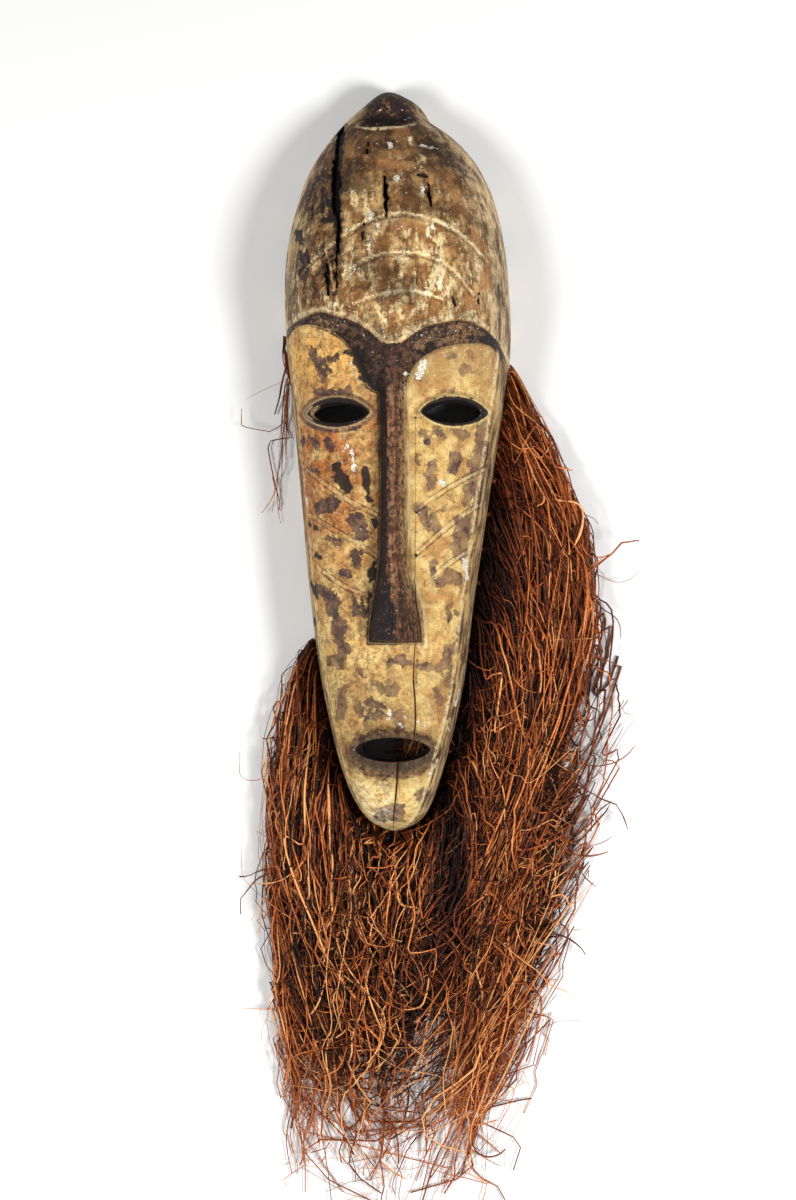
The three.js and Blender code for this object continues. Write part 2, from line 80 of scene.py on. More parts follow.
def curve_through(points):
    """A smooth curve through (position, value) points, flat beyond its ends."""
    at, value = np.array(sorted(points), float).T
    last = len(at) - 1
    before, after = np.maximum(np.arange(last + 1) - 1, 0), np.minimum(np.arange(last + 1) + 1, last)
    slope = (value[after] - value[before]) / (at[after] - at[before])

    def curve(position):
        p = np.clip(position, at[0], at[-1])
        k = np.clip(np.searchsorted(at, p, side="right") - 1, 0, last - 1)
        span = at[k + 1] - at[k]
        u = (p - at[k]) / span
        bend = span * (slope[k] * u * (1 - u) ** 2 + slope[k + 1] * u * u * (u - 1))
        return value[k] + (value[k + 1] - value[k]) * (3 * u * u - 2 * u**3) + bend

    return curve


def share_along(y):
    """How far from crown to chin a y is, 0 to 1, with both rounded ends spread out."""
    share = np.clip((CROWN_Y - y) / (CROWN_Y - CHIN_Y), 0, 1)
    return np.arccos(1 - 2 * share) / np.pi


def y_at_share(share):
    """The y that is this far from crown to chin."""
    return CROWN_Y - (CROWN_Y - CHIN_Y) * (1 - np.cos(np.asarray(share) * np.pi)) / 2


def along_mask(points):
    """A smooth curve through (y, value) points from crown to chin, which can turn steeply at both ends."""
    curve = curve_through([(float(share_along(y)), value) for y, value in points])
    return lambda y: curve(share_along(y))


def smooth(u):
    """A soft step from 0 to 1, as u goes from 0 to 1."""
    u = np.clip(u, 0, 1)
    return u * u * (3 - 2 * u)


left_edge = along_mask([
    (15, -7), (12, -17), (2, -30), (-12, -46.5), (-27, -60), (-56, -79.5), (-85, -90.5),
    (-129, -100.5), (-174, -103), (-218, -100.5), (-266, -95.5), (-358, -87), (-450, -78.5),
    (-523, -68.5), (-560, -61), (-596, -52), (-615, -45.5), (-633, -37.5), (-643, -31.5),
    (-652, -23), (-657.5, -14.5), (-662, -3),
])
right_edge = along_mask([
    (15, -7), (12, 3), (7, 13), (2, 20.5), (-5, 26.5), (-13, 31.5), (-20, 41), (-28, 52),
    (-41, 65), (-56, 76), (-85, 89), (-130, 99), (-174, 103), (-218, 104), (-266, 98.5),
    (-358, 84.5), (-450, 71), (-523, 62), (-560, 54.5), (-597, 45), (-616, 39.5), (-634, 33),
    (-643, 28.5), (-652, 21), (-657.5, 11), (-662, -3),
])
dome_profile = along_mask([
    (15, 0), (12, 27), (5, 42), (-3, 49), (-13, 54), (-24, 62), (-38, 72), (-66, 89),
    (-93, 101), (-136, 115), (-179, 123), (-210, 125), (-270, 119), (-360, 107), (-450, 97),
    (-522, 92), (-594, 88), (-622, 80), (-640, 67), (-650, 53), (-657, 34), (-662, 0),
])
face_recess = curve_through([
    (-640, 0), (-560, 0), (-500, 3), (-440, 6), (-360, 11), (-310, 15), (-260, 18), (-205, 17),
    (-180, 8), (-150, 0),
])
brow_upper = curve_through([
    (-100, -207), (-81, -202), (-62, -198), (-45, -203), (-30, -209), (-17, -217.5), (-6, -227),
    (0, -231), (8, -228), (21, -218.5), (35, -211.5), (50, -208), (63, -206.5), (75, -209),
    (86, -215), (95, -225), (105, -240),
])
brow_lower = curve_through([
    (-100, -217), (-81, -208), (-63.5, -210), (-46, -219), (-36, -229.5), (-27, -245),
    (-21, -262), (0, -270), (12, -264), (16, -253), (24, -241), (37, -232.5), (50, -228),
    (71, -225.5), (85.5, -226), (95, -236), (105, -256),
])
nose_middle = curve_through([(-486, 2.7), (-450, 2.5), (-415, 0.8), (-330, 0.7), (-230, -0.5)])
nose_half_width = curve_through([
    (-486, 24), (-467, 22.5), (-450, 19.5), (-425, 14), (-400, 11.6), (-330, 10.7), (-262, 11.5),
    (-245, 14), (-228, 20),
])
nose_crest = curve_through([
    (-486, 122), (-470, 124), (-440, 121), (-400, 118), (-330, 116), (-270, 116), (-240, 119),
    (-228, 123),
])
dome_squareness = curve_through([(-260, 3.3), (-200, 3.2), (-130, 2.7), (-50, 2.3), (0, 2.2)])
SCOOP_X, SCOOP_Y, SCOOP_HALF_WIDTH, SCOOP_LENGTH, SCOOP_DEPTH = -12, -24, 32, 21, 8
# How squarely the face and the nose turn down at their sides, and how roundly the dome and the face do
FACE_SQUARENESS, NOSE_SQUARENESS, DOME_ROUND, FACE_ROUND = 4.5, 2.2, 0.46, 0.385


def face_profile(y):
    return dome_profile(y) - face_recess(y)


def face_share(x, y):
    """0 on the forehead and 1 on the face, turning over across the brow band."""
    return smooth((brow_upper(x) - y) / (brow_upper(x) - brow_lower(x)))


def crown_scoop(x, y):
    """How much the shallow scoop below the knob takes away."""
    across = np.maximum(1 - ((x - SCOOP_X) / SCOOP_HALF_WIDTH) ** 2, 0)
    along = np.maximum(1 - (y - SCOOP_Y) / SCOOP_LENGTH, 0)
    return SCOOP_DEPTH * across * along * smooth((y - SCOOP_Y + 3) / 3)


def front_height(x, y):
    """The carved front's height over a place on the plan, as the solid has it."""
    left, right = left_edge(y), right_edge(y)
    across = np.minimum(np.abs(2 * x - left - right) / np.maximum(right - left, 1e-6), 1)
    dome = dome_profile(y) * (1 - across ** dome_squareness(y)) ** DOME_ROUND
    face = face_profile(y) * (1 - across**FACE_SQUARENESS) ** FACE_ROUND
    base = dome + (face - dome) * face_share(x, y)
    fall = (np.abs(x - nose_middle(y)) / nose_half_width(y)) ** NOSE_SQUARENESS
    past_end = np.maximum(NOSE_END_Y - y, 0) * NOSE_END_SLOPE
    nose = face_profile(y) + (nose_crest(y) - face_profile(y)) * (1 - fall) - past_end
    raised = np.where((y < NOSE_TOP_Y) & (nose > base), nose, base)
    return np.maximum(raised - crown_scoop(x, y), 0)


# Carved detail that is finer than the solid's


def ripple(x, y, size, seed, count=14):
    """Even unevenness, about -1 to 1, with humps about this many millimetres apart."""
    rng = np.random.default_rng(seed)
    total = np.zeros(np.broadcast(x, y).shape)
    for _ in range(count):
        turn, phase, pace = rng.uniform(0, 2 * np.pi), rng.uniform(0, 2 * np.pi), rng.uniform(0.6, 1.7)
        total += np.sin((x * np.cos(turn) + y * np.sin(turn)) * 2 * np.pi * pace / size + phase)
    return total / math.sqrt(count / 2)


FAR = 60.0


def stroke_distance(x, y, strokes):
    """How far a place is outside the nearest stroke, negative inside: (x1, y1, x2, y2, half width)."""
    nearest = np.full(np.shape(x), FAR)
    for x1, y1, x2, y2, half in strokes:
        dx, dy = x2 - x1, y2 - y1
        share = np.clip(((x - x1) * dx + (y - y1) * dy) / max(dx * dx + dy * dy, 1e-9), 0, 1)
        nearest = np.minimum(nearest, np.hypot(x - x1 - share * dx, y - y1 - share * dy) - half)
    return nearest


def drawn_through(line, step=3.0):
    """Strokes along a smooth line through (x, y, half width) points."""
    points = np.array(line, float)
    run = np.r_[0, np.cumsum(np.hypot(*np.diff(points[:, :2], axis=0).T))]
    at = np.linspace(0, run[-1], max(2, int(run[-1] / step)) + 1)
    x, y, half = (curve_through(list(zip(run, points[:, k])))(at) for k in range(3))
    return [(x[i], y[i], x[i + 1], y[i + 1], (half[i] + half[i + 1]) / 2) for i in range(len(at) - 1)]


def drawn_all(lines):
    return [stroke for line in lines for stroke in drawn_through(line)]


def almond_distance(x, y, centre, half_length, half_height, sharpness):
    """About how far a place is outside an almond, negative inside."""
    dx, dy = np.abs(x - centre[0]), np.abs(y - centre[1])
    power = 2 / sharpness
    level = np.sqrt((dx / half_length) ** 2 + (dy / half_height) ** power)
    slope = np.hypot(2 * dx / half_length**2, power * (dy / half_height) ** (power - 1) / half_height)
    outside = 2 * level * (level - 1) / np.maximum(slope, 1e-3)
    return np.where(level < 0.62, -half_height * (1 - level), np.clip(outside, -half_height, FAR))


EYES = [(-48.5, -285.0), (55.0, -284.5)]
EYE_LID, EYE_SHARPNESS = (31.5, 14.8), 1.35
MOUTH, MOUTH_LIP, LIP_DROP, MOUTH_SHARPNESS = (0.8, -582.0), (45.0, 23.5), 3.5, 1.15
lid_bead = curve_through([(-9, 0.6), (-5.5, 1.0), (-3.6, 2.3), (-2, 3.1), (-0.6, 2.5), (0.8, 0.6), (2.2, 0)])
lip_swell = curve_through([(-15, 3.0), (-11, 4.6), (-7, 6.2), (-4, 5.4), (-1, 2.4), (1.5, 0.5), (4, 0)])


def lid_distance(x, y):
    """How far a place is outside the nearer eyelid, negative inside."""
    return np.minimum(*(almond_distance(x, y, eye, *EYE_LID, EYE_SHARPNESS) for eye in EYES))


def lip_distance(x, y):
    """How far a place is outside the lips, negative inside."""
    return almond_distance(x, y, (MOUTH[0], MOUTH[1] - LIP_DROP), *MOUTH_LIP, MOUTH_SHARPNESS)


# Incised lines: arcs on the forehead and slanting lines on the cheeks
ARCS = [
    [(-84, -166, 1), (-68, -150, 1.3), (-40, -131, 1.6), (-22.5, -120, 1.8), (-3, -113.5, 1.8),
     (17, -112.5, 1.8), (36, -118, 1.8), (53.5, -125.5, 1.8), (69, -136.5, 1.5), (84, -151, 1)],
    [(-42, -168, 1.3), (-30, -158, 1.8), (-9, -149.5, 1.8), (10, -148, 1.7), (30, -150, 1.7),
     (52, -161, 1.6), (72, -183, 1)],
    [(-32, -193, 1), (-15, -187, 1.6), (9, -182, 1.7), (30, -184, 1.6), (46, -190, 1)],
]
CHEEK_LINES = [
    [(24, -369, 1), (49, -352, 1.3), (85, -331, 1)],
    [(20, -411, 1), (53, -382, 1.4), (83, -361, 1)],
    [(30, -436, 1), (51, -417, 1.3), (75, -401, 1)],
    [(-77, -334, 1), (-37, -363, 1.4), (-14, -375, 1)],
    [(-75, -374, 1), (-31, -400, 1.4), (-12, -413, 1)],
    [(-68, -420, 1), (-45, -436, 1.3), (-23, -446, 1)],
]
# Splits along the grain, each ((x, y, half width), ...) and its depth
SPLITS = [
    ([(-48.5, -20, 0.8), (-48.5, -32, 3.8), (-50.5, -47, 1.6), (-51, -62, 2.4), (-50, -80, 3.8),
      (-50, -92, 3.4), (-48.5, -105, 3.6), (-46.5, -117, 1.2), (-46.5, -135, 1.5), (-47.5, -158, 0.9),
      (-46.5, -178, 0.7)], 8.0),
    ([(-22.5, -43, 0.5), (-22.7, -48, 1.1), (-23, -54, 0.6)], 4.0),
    ([(-6, -77, 0.6), (-5.3, -90, 2.0), (-5, -101, 2.3), (-4.5, -114, 0.7)], 8.0),
    ([(32, -84, 0.5), (33, -95, 1.6), (34, -104, 0.7)], 6.0),
    ([(-24.5, -121, 0.5), (-24.5, -129, 1.2), (-24.5, -137, 0.4)], 3.0),
    ([(-56.5, -153, 0.7), (-56, -168, 1.8), (-54.5, -183, 0.7)], 6.0),
    ([(48, -187, 0.5), (47.5, -193, 0.5)], 2.0),
    ([(55, -185, 0.6), (55, -190, 1.1), (55, -196, 0.5)], 3.0),
    ([(76, -181, 0.8), (76.5, -190, 0.6)], 2.5),
    ([(-82, -157, 0.6), (-82, -163, 0.5)], 2.0),
    ([(-70, -95, 0.4), (-72.5, -104, 1.0), (-71, -112, 0.5)], 2.0),
]
# The hairline from the highest nail hole past the nose to the mouth, and the chin's split: y, x, half width
SEAM = [
    (-289, 21, 0.0), (-290, 21, 0.3), (-330, 21, 0.28), (-371, 21, 0.3), (-410, 20.4, 0.35), (-433, 20, 0.45),
    (-450, 21, 0.5), (-464, 23, 0.5), (-476, 25.5, 0.45), (-485, 25.5, 0.4), (-488.5, 20.3, 0.5),
    (-503, 19, 0.65), (-520, 18.5, 0.8), (-538, 20, 0.95), (-555, 20.5, 0.9), (-571, 19.5, 0.8),
    (-575, 19.5, 0.0), (-589, 5, 0.0), (-593, 5, 1.3), (-609, 4, 1.2), (-627, 2, 1.0),
    (-645, -0.5, 0.7), (-657, -2, 0.3), (-659, -2, 0.0),
]
SEAM_Y, SEAM_X, SEAM_HALF = np.array(sorted(SEAM)).T
NAILS = [(21, -290, 21, -290, 1.2), (21.5, -373, 21.5, -373, 1.1), (21, -410.5, 21, -410.5, 1.6),
         (18.5, -329, 18.5, -329, 0.7), (17, -350, 17, -350, 0.6)]
LEDGE = [(-34, -24, 0.5), (-21.5, -28, 1.1), (-8, -28.5, 1.4), (8, -26, 1.1), (18, -23.5, 0.6)]
PLUG = [(25, -59, 26.5, -72, 4.0)]
PLUG_FOOT = [(23, -75.5, 30, -76.5, 1.6)]

ARC_STROKES, CHEEK_STROKES = drawn_all(ARCS), drawn_all(CHEEK_LINES)
SPLIT_STROKES = [drawn_through(line) for line, _ in SPLITS]


def split_edge(x, y):
    """Raggedness of the splits' edges, drawn out along the grain."""
    return 0.55 * ripple(x, y * 0.5, 6, 31) + 0.3 * ripple(x, y * 0.6, 2.6, 32)


def split_distance(x, y):
    """How far a place is outside the nearest split's ragged edge, negative inside."""
    nearest = np.minimum.reduce([stroke_distance(x, y, strokes) for strokes in SPLIT_STROKES])
    return nearest + split_edge(x, y)


# Where the brows' slope is measured, from this far on the left to this far on the right
BROW_REACH = 110


def ridge_depth(x, y):
    """How far inside the dark brows and nose a place is, negative outside."""
    slopes = np.gradient(brow_lower(np.arange(-BROW_REACH, BROW_REACH + 1.0)))
    slope = slopes[np.clip(x + BROW_REACH, 0, 2 * BROW_REACH).astype(int)]
    brow = np.minimum(brow_upper(x) - y, (y - brow_lower(x)) * (1 / np.hypot(1, slope)))
    nose = nose_half_width(y) - np.abs(x - nose_middle(y))
    nose = np.where(y > NOSE_TOP_Y - 2, -FAR, np.minimum(nose, y - NOSE_END_Y + 3))
    return np.maximum(brow, nose)


bead_groove = curve_through([(0, 0), (1.5, 0.2), (4.2, 0.5), (5.4, -1.6), (6.4, -1.4), (7.6, 0.1), (9, 0)])


def relief(x, y):
    """What the finer carving adds to the solid's height."""
    # Incised lines with a raised lip beside them, the lids and the lips
    off_lines = np.minimum(stroke_distance(x, y, ARC_STROKES), stroke_distance(x, y, CHEEK_STROKES)) + 1.6
    added = -1.5 * np.exp(-((off_lines / 1.5) ** 2)) + 0.45 * np.exp(-(((off_lines - 3) / 1.3) ** 2))
    added += lid_bead(lid_distance(x, y)) + lip_swell(lip_distance(x, y))
    # The bead round the face
    on_face = smooth((brow_lower(x) - y) / 12) * smooth((y + 655) / 14)
    added += on_face * bead_groove(x - left_edge(y) + 0.5 * ripple(y, 0 * y, 60, 5))
    added += 0.7 * on_face * bead_groove((right_edge(y) - x) * 0.8 + 0.5 * ripple(y, 0 * y, 50, 6))
    # The blade's ripples, and the edges of the brows and the nose
    inland = smooth(np.minimum(x - left_edge(y), right_edge(y) - x) / 16)
    added += inland * (0.32 * ripple(x, y * 0.45, 26, 1) + 0.14 * ripple(x, y * 0.3, 7, 2))
    added += -0.9 * smooth(1 - np.abs(ridge_depth(x, y) + 0.6) / 2.2) * (y > NOSE_END_Y - 2)
    # The ledge and the filled hole below the knob, the splits and the seam
    added += 0.9 * smooth(1 - (stroke_distance(x, y, drawn_through(LEDGE)) + 1) / 3)
    added += 1.3 * smooth(0.5 - stroke_distance(x, y, PLUG))
    added += -1.4 * smooth(0.4 - stroke_distance(x, y, PLUG_FOOT))
    for strokes, (_, depth) in zip(SPLIT_STROKES, SPLITS):
        off = stroke_distance(x, y, strokes) + split_edge(x, y)
        added -= depth * smooth((0.9 - off) / 2.2)
    seam_half = np.interp(y, SEAM_Y, SEAM_HALF)
    seam = np.abs(x - np.interp(y, SEAM_Y, SEAM_X)) - seam_half
    added -= np.where(seam_half > 0.5, 2.5 * smooth(1 - seam / 1.1), 0)
    return added


def carved_height(x, y):
    """The front's height with its finer carving, which fades out at the very edge."""
    inland = smooth(np.minimum(x - left_edge(y), right_edge(y) - x) / 5)
    return np.maximum(front_height(x, y) + relief(x, y) * inland, 0)


# Where the paint lies: strokes from one place to another, x and y of both, with half a width

BLOTCHES = [
    (-72.5, -292, -49, -300.5, 2), (-42.5, -294, -30, -298.5, 1.5), (-75.5, -307.5, -67, -313.5, 2),
    (-54, -240, -46.5, -235, 2), (-68, -232.5, -60, -255, 3), (-63.5, -236.5, -54.5, -250, 2),
    (-66, -265.5, -36.5, -267.5, 2.5), (-79.5, -307, -79.5, -309, 2.5), (-55, -311, -54, -315, 3),
    (-72, -334, -67, -336.5, 2), (-62.5, -368, -52, -363.5, 6), (-32.5, -379.5, -27, -392.5, 6.5),
    (-54.5, -396.5, -47.5, -399, 3), (64.5, -248, 73, -249.5, 3), (48, -238.5, 55.5, -236.5, 1.5),
    (68.5, -233.5, 69, -236.5, 2), (23, -254, 25, -256, 2), (44.5, -266, 53.5, -266.5, 1.5),
    (38, -300.5, 44.5, -305, 2.5), (55.5, -300.5, 64, -304.5, 3.5), (81.5, -296, 80.5, -303, 3.5),
    (21.5, -324.5, 22.5, -327, 2), (34.5, -331.5, 35.5, -349, 3.5), (56, -324.5, 53, -335.5, 4.5),
    (79, -334, 72.5, -352, 6), (82, -313, 77, -329.5, 5), (24.5, -371, 31.5, -384, 5),
    (35.5, -375, 38, -388.5, 3), (77, -299, 75, -316.5, 3.5), (71.5, -325.5, 69.5, -345.5, 4),
    (68.5, -348, 65, -365.5, 4), (61.5, -381.5, 58.5, -403.5, 6.5), (29, -303, 32.5, -311.5, 2.5),
    (66, -381, 61, -399, 7), (76, -363, 74.5, -365, 4), (45.5, -367.5, 45.5, -370.5, 2),
    (-31.5, -409, -30.5, -419, 3.5), (-39.5, -428, -44, -425.5, 2.5), (-68, -440, -51.5, -450, 4.5),
    (-51.5, -463, -46.5, -481, 6), (-54, -452, -51.5, -461, 4.5), (-43.5, -492, -46, -507.5, 4.5),
    (-56, -503.5, -55, -505.5, 3), (-35, -445.5, -31, -461, 3), (-26, -450, -24, -463, 2),
    (-43.5, -530, -46.5, -552.5, 3.5), (-26.5, -513, -26, -516, 2), (-7.5, -506, 7, -503, 3.5),
    (9, -504, 33.5, -509.5, 2), (33.5, -509.5, 52.5, -509, 2), (-14, -525, -8.5, -529, 4.5),
    (-3, -530.5, 3.5, -528, 3.5), (-30.5, -545, -28.5, -551.5, 2), (-19.5, -540.5, -11, -543.5, 3),
    (-12, -549, -24, -556, 3), (4.5, -551.5, 7, -564.5, 3), (60, -401, 61.5, -408, 6.5),
    (51, -428, 56, -431, 6.5), (44.5, -433.5, 43, -434.5, 4), (49.5, -456.5, 50.5, -465.5, 1.5),
    (56.5, -460, 58, -463, 1.5), (61.5, -472, 61.5, -485.5, 3), (64, -492.5, 63.5, -504, 2.5),
    (51, -494, 46.5, -505, 4.5), (48.5, -516.5, 51, -525.5, 3), (39.5, -529.5, 42, -540.5, 2),
    (36, -417, 37.5, -428, 2), (26, -623.5, 30, -629.5, 6), (-10, -642, 4.5, -637.5, 6.5),
    (1, -645, 5.5, -643.5, 4.5),
]
BLACK_PATCHES = [
    (-49, -21, -48, -48, 2.5), (-48, -48, -49.5, -78.5, 3), (-49.5, -78.5, -49.5, -102.5, 4),
    (-49.5, -102.5, -47.5, -118.5, 3), (-58.5, -93, -53.5, -112.5, 1.5), (-47.5, -118.5, -46, -138, 1.5),
    (-52.5, -148.5, -49, -175.5, 1), (-73, -79, -68, -95.5, 1), (-88, -119.5, -80.5, -130.5, 1.5),
    (-83.5, -139, -79, -151.5, 1), (-63, -84, -61.5, -107, 1.2), (-61, -115.5, -54, -117, 1.4),
    (-45, -124, -44.5, -136, 1.4), (-86, -128, -80, -134, 1.2), (-76, -143, -74, -150, 1.5),
    (-60, -140, -59, -147, 1.2), (-40, -231, -32, -236.5, 2.5), (-32, -233, -25.5, -248.5, 4.5),
    (-25.5, -248.5, -24.5, -258, 2.5), (-48, -334, -46, -342, 5), (-42.5, -346.5, -39.5, -352, 5),
    (-22.5, -335.5, -21, -348.5, 3.5), (-21, -348.5, -20.5, -362, 2), (-16.5, -380.5, -15.5, -384, 2),
    (-74.5, -382.5, -68, -386.5, 1.5), (35.5, -227, 36.5, -229.5, 2), (71, -221.5, 90.5, -220.5, 2),
    (-69, -409.5, -64.5, -413, 2), (-73, -436.5, -71, -443, 2), (-74, -463.5, -73, -470.5, 1.5),
    (-16, -417, -19.5, -434.5, 2), (-20, -441, -21.5, -458.5, 2),
]
# Chipped paint, and among it painted highlights: the white streak below the left brow's inner end and the
# patch right of the nose's top
PALE_CHIPS_AND_HIGHLIGHTS = [
    (-35, -240.5, -33, -252.5, 1), (28.5, -243, 25, -253, 4), (-34.5, -319, -33, -335.5, 1.4),
    (-42.5, -318, -39.5, -314.5, 1.5), (-28, -305, -28.5, -309, 1), (42.5, -346.5, 46.5, -348.5, 2),
    (12, -250.5, 12, -268, 1), (-45, -331, -42.5, -328.5, 1), (-78, -360, -78, -366.5, 1.5),
    (-2, -549, -1.5, -552.5, 1.2), (19, -554.5, 30, -561, 0.9), (48, -558, 48.5, -566, 1.5),
    (64, -414.5, 65, -430, 2), (-3, -551, -6, -560, 0.9), (10, -553, 16, -556, 0.6),
    (59, -531, 55.5, -544, 1.5), (39, -592.5, 32.5, -603, 1.5), (7, -560, 9, -561.5, 1.5),
    (63, -543, 60.5, -552, 1.5), (4, -78, 4, -80.5, 2), (-3, -44, -2, -47, 2.5), (15, -39.5, 17, -46, 0.5),
    (24, -46, 40.5, -48, 0.5), (27, -84, 27.5, -91.5, 1), (47, -121, 53.5, -125.5, 1.5),
]
RUSTY_PATCHES = [
    (0.5, -126, 13.5, -122, 4.5), (26, -126, 27.5, -134.5, 3.5), (50.5, -133.5, 52.5, -146, 4),
    (-7, -137.5, -9, -142.5, 3), (-29, -136, -28, -144, 2), (-8.5, -164.5, -9, -173, 5.5),
    (-4, -158, -6.5, -161, 2.5), (4, -168, 3, -174.5, 2.5), (17, -163.5, 15.5, -176, 2.5),
    (26.5, -161.5, 27.5, -175, 4.5), (-30.5, -177.5, -27, -183, 2), (-22, -174, -23, -180.5, 1.5),
    (4.5, -188, 1, -189, 2.5), (-4.5, -192, -1, -198.5, 2.5), (3.5, -202.5, 2, -205.5, 1.5),
    (15.5, -196.5, 14.5, -199.5, 3), (64.5, -175.5, 69, -193, 4), (-50.5, -153, -49.5, -168, 2.5),
    (-64, -171.5, -60.5, -179, 3.5), (70, -125, 80.5, -138, 4), (-57, -120, -54, -127.5, 2),
    (-9, -63.5, 4.5, -67, 6), (3, -99.5, 20.5, -102, 4.5), (81.5, -150.5, 84, -173, 5.5),
    (83, -213, 90, -219, 3), (-62, -204, -52, -205, 2),
]
CREAM_PATCHES = [
    (-40, -127.5, -23, -118.5, 1.5), (-21.5, -116.5, -16.5, -112, 1.5), (-20, -101.5, -20, -112, 1.5),
    (-16.5, -102.5, -16, -108.5, 1), (-11.5, -122.5, -10, -128.5, 2), (31, -119.5, 32.5, -132, 1),
    (36, -120.5, 37, -127.5, 1), (38.5, -117, 53.5, -123.5, 2), (44, -131, 46.5, -136.5, 3),
    (44, -138.5, 44.5, -155.5, 1.5), (33, -134, 40.5, -136.5, 1.5), (-39.5, -169.5, -31, -162, 2),
    (-31, -162, -21, -153, 1.5), (-37.5, -145, -39.5, -156, 1), (-41, -158, -38.5, -162.5, 1.5),
    (-19.5, -134, -18, -148.5, 1.5), (-16.5, -166.5, -17.5, -172, 2), (-27.5, -167.5, -20, -172, 1),
    (10.5, -159, 9.5, -172.5, 1.5), (7.5, -176.5, 10.5, -183, 2.5), (21, -163.5, 21, -183, 1),
    (38.5, -161, 34.5, -172.5, 2), (32.5, -174.5, 34.5, -184, 2.5), (42.5, -169, 43, -180, 1),
    (17, -183, 31, -185, 1), (-20, -192, -13.5, -187, 1), (-11, -186, 6.5, -184, 1.5),
    (-11.5, -194, -7.5, -202.5, 2), (-7.5, -202.5, -3, -211, 1), (1.5, -196, 0, -205.5, 1),
    (6.5, -193, 10, -204.5, 2), (13, -187, 15, -192, 1.5), (-47.5, -193.5, -47.5, -197, 2),
    (53.5, -172, 55, -177.5, 2.5), (54, -159.5, 67, -173, 1), (-34, -91.5, -32, -101.5, 3),
    (-24, -89.5, -22, -113, 1.5), (-17, -86, -17.5, -106, 1), (15, -38.5, 16, -44.5, 1.5),
    (26, -85.5, 27, -95, 1),
]
orange_along = curve_through([
    (-480, 0), (-430, 0.25), (-380, 0.8), (-330, 1), (-300, 0.9), (-262, 0.35), (-235, 0.1),
])


def paint_marks(x, y, z):
    """The signed distances and shares that the paint is laid out by, in millimetres."""
    marks = {
        "depth": carved_height(x, y) - z,
        "above": y - brow_upper(x),
        "ridge": ridge_depth(x, y),
        "nose_side": (x - nose_middle(y)) / nose_half_width(y),
        "lid": lid_distance(x, y),
        "lip": lip_distance(x, y),
        "arc": stroke_distance(x, y, ARC_STROKES),
        "cheek_line": stroke_distance(x, y, CHEEK_STROKES),
        "blotch": stroke_distance(x, y, BLOTCHES),
        "black": stroke_distance(x, y, BLACK_PATCHES),
        "nail": stroke_distance(x, y, NAILS),
        "pale": stroke_distance(x, y, PALE_CHIPS_AND_HIGHLIGHTS),
        "ledge": stroke_distance(x, y, drawn_through(LEDGE)),
        "plug": stroke_distance(x, y, PLUG),
        "cream": stroke_distance(x, y, CREAM_PATCHES),
        "rusty": stroke_distance(x, y, RUSTY_PATCHES),
        "split": np.minimum(split_distance(x, y), stroke_distance(x, y, PLUG_FOOT)),
        "seam": np.clip(x - np.interp(y, SEAM_Y, SEAM_X), -12, 12),
        "seam_half": np.interp(y, SEAM_Y, SEAM_HALF),
        "left_rim": x - left_edge(y),
        "right_rim": right_edge(y) - x,
        "orange": orange_along(y) * smooth((2 - x) / 12) * smooth((x + 96) / 14),
    }
    return {name: np.clip(values, -FAR, FAR) for name, values in marks.items()}


# Meshes


def mesh_piece(name, vertices, faces, material):
    """An object from vertices in metres and faces of three or four corners, the fourth -1 in a triangle."""
    faces = np.asarray(faces, np.int64)
    four = faces[:, 3] >= 0 if faces.shape[1] == 4 else np.zeros(len(faces), bool)
    corners = faces[faces >= 0] if faces.shape[1] == 4 else faces.reshape(-1)
    sizes = np.where(four, 4, 3)
    mesh = bpy.data.meshes.new(name)
    mesh.vertices.add(len(vertices))
    mesh.vertices.foreach_set("co", np.asarray(vertices, np.float32).reshape(-1))
    mesh.loops.add(len(corners))
    mesh.loops.foreach_set("vertex_index", corners.astype(np.int32))
    mesh.polygons.add(len(faces))
    mesh.polygons.foreach_set("loop_start", np.r_[0, np.cumsum(sizes)[:-1]].astype(np.int32))
    mesh.update(calc_edges=True)
    mesh.validate()
    mesh.shade_smooth()
    piece = bpy.data.objects.new(name, mesh)
    bpy.context.scene.collection.objects.link(piece)
    if material:
        mesh.materials.append(material)
    return piece


def add_attribute(mesh, name, values):
    """A value for each vertex, for materials to read."""
    made = mesh.attributes.new(name, "FLOAT", "POINT")
    made.data.foreach_set("value", values.astype(np.float32))


def merged(vertices, faces):
    """Vertices at one place made one, and the faces that collapse left out."""
    _, first, inverse = np.unique(np.round(vertices, 7), axis=0, return_index=True, return_inverse=True)
    faces = inverse.reshape(-1)[faces]
    a, b, c = faces.T
    return vertices[first], faces[(a != b) & (b != c) & (c != a)]


def mound_faces(rows, columns):
    """Triangles of a grid of rows across a height, closed by a flat back."""
    index = np.arange(rows * columns).reshape(rows, columns)
    a, b, c, d = index[:-1, :-1], index[1:, :-1], index[1:, 1:], index[:-1, 1:]
    front = [np.stack([a, b, c], -1).reshape(-1, 3), np.stack([a, c, d], -1).reshape(-1, 3)]
    p, q, r, s = index[:-1, 0], index[:-1, -1], index[1:, 0], index[1:, -1]
    back = [np.stack([p, q, s], -1), np.stack([p, s, r], -1)]
    return np.concatenate(front + back)


ROW_BANDS = [
    (-17, 26), (-27, 8), (-165, 80), (-214, 34), (-236, 16), (-300, 50), (-430, 80), (-485, 34),
    (-488, 3), (-560, 46), (-606, 36), (-645, 26), (-662, 16),
]
BROW_ABOVE, BROW_UPPER, BROW_LOWER, BROW_BELOW = -165.0, -214.0, -236.0, -300.0


def row_levels():
    """Each row's y, closest together where the carving is finest."""
    shares = [0.0]
    for y, rows in ROW_BANDS:
        shares += list(np.linspace(shares[-1], share_along(y), rows + 1)[1:])
    return y_at_share(np.array(shares))


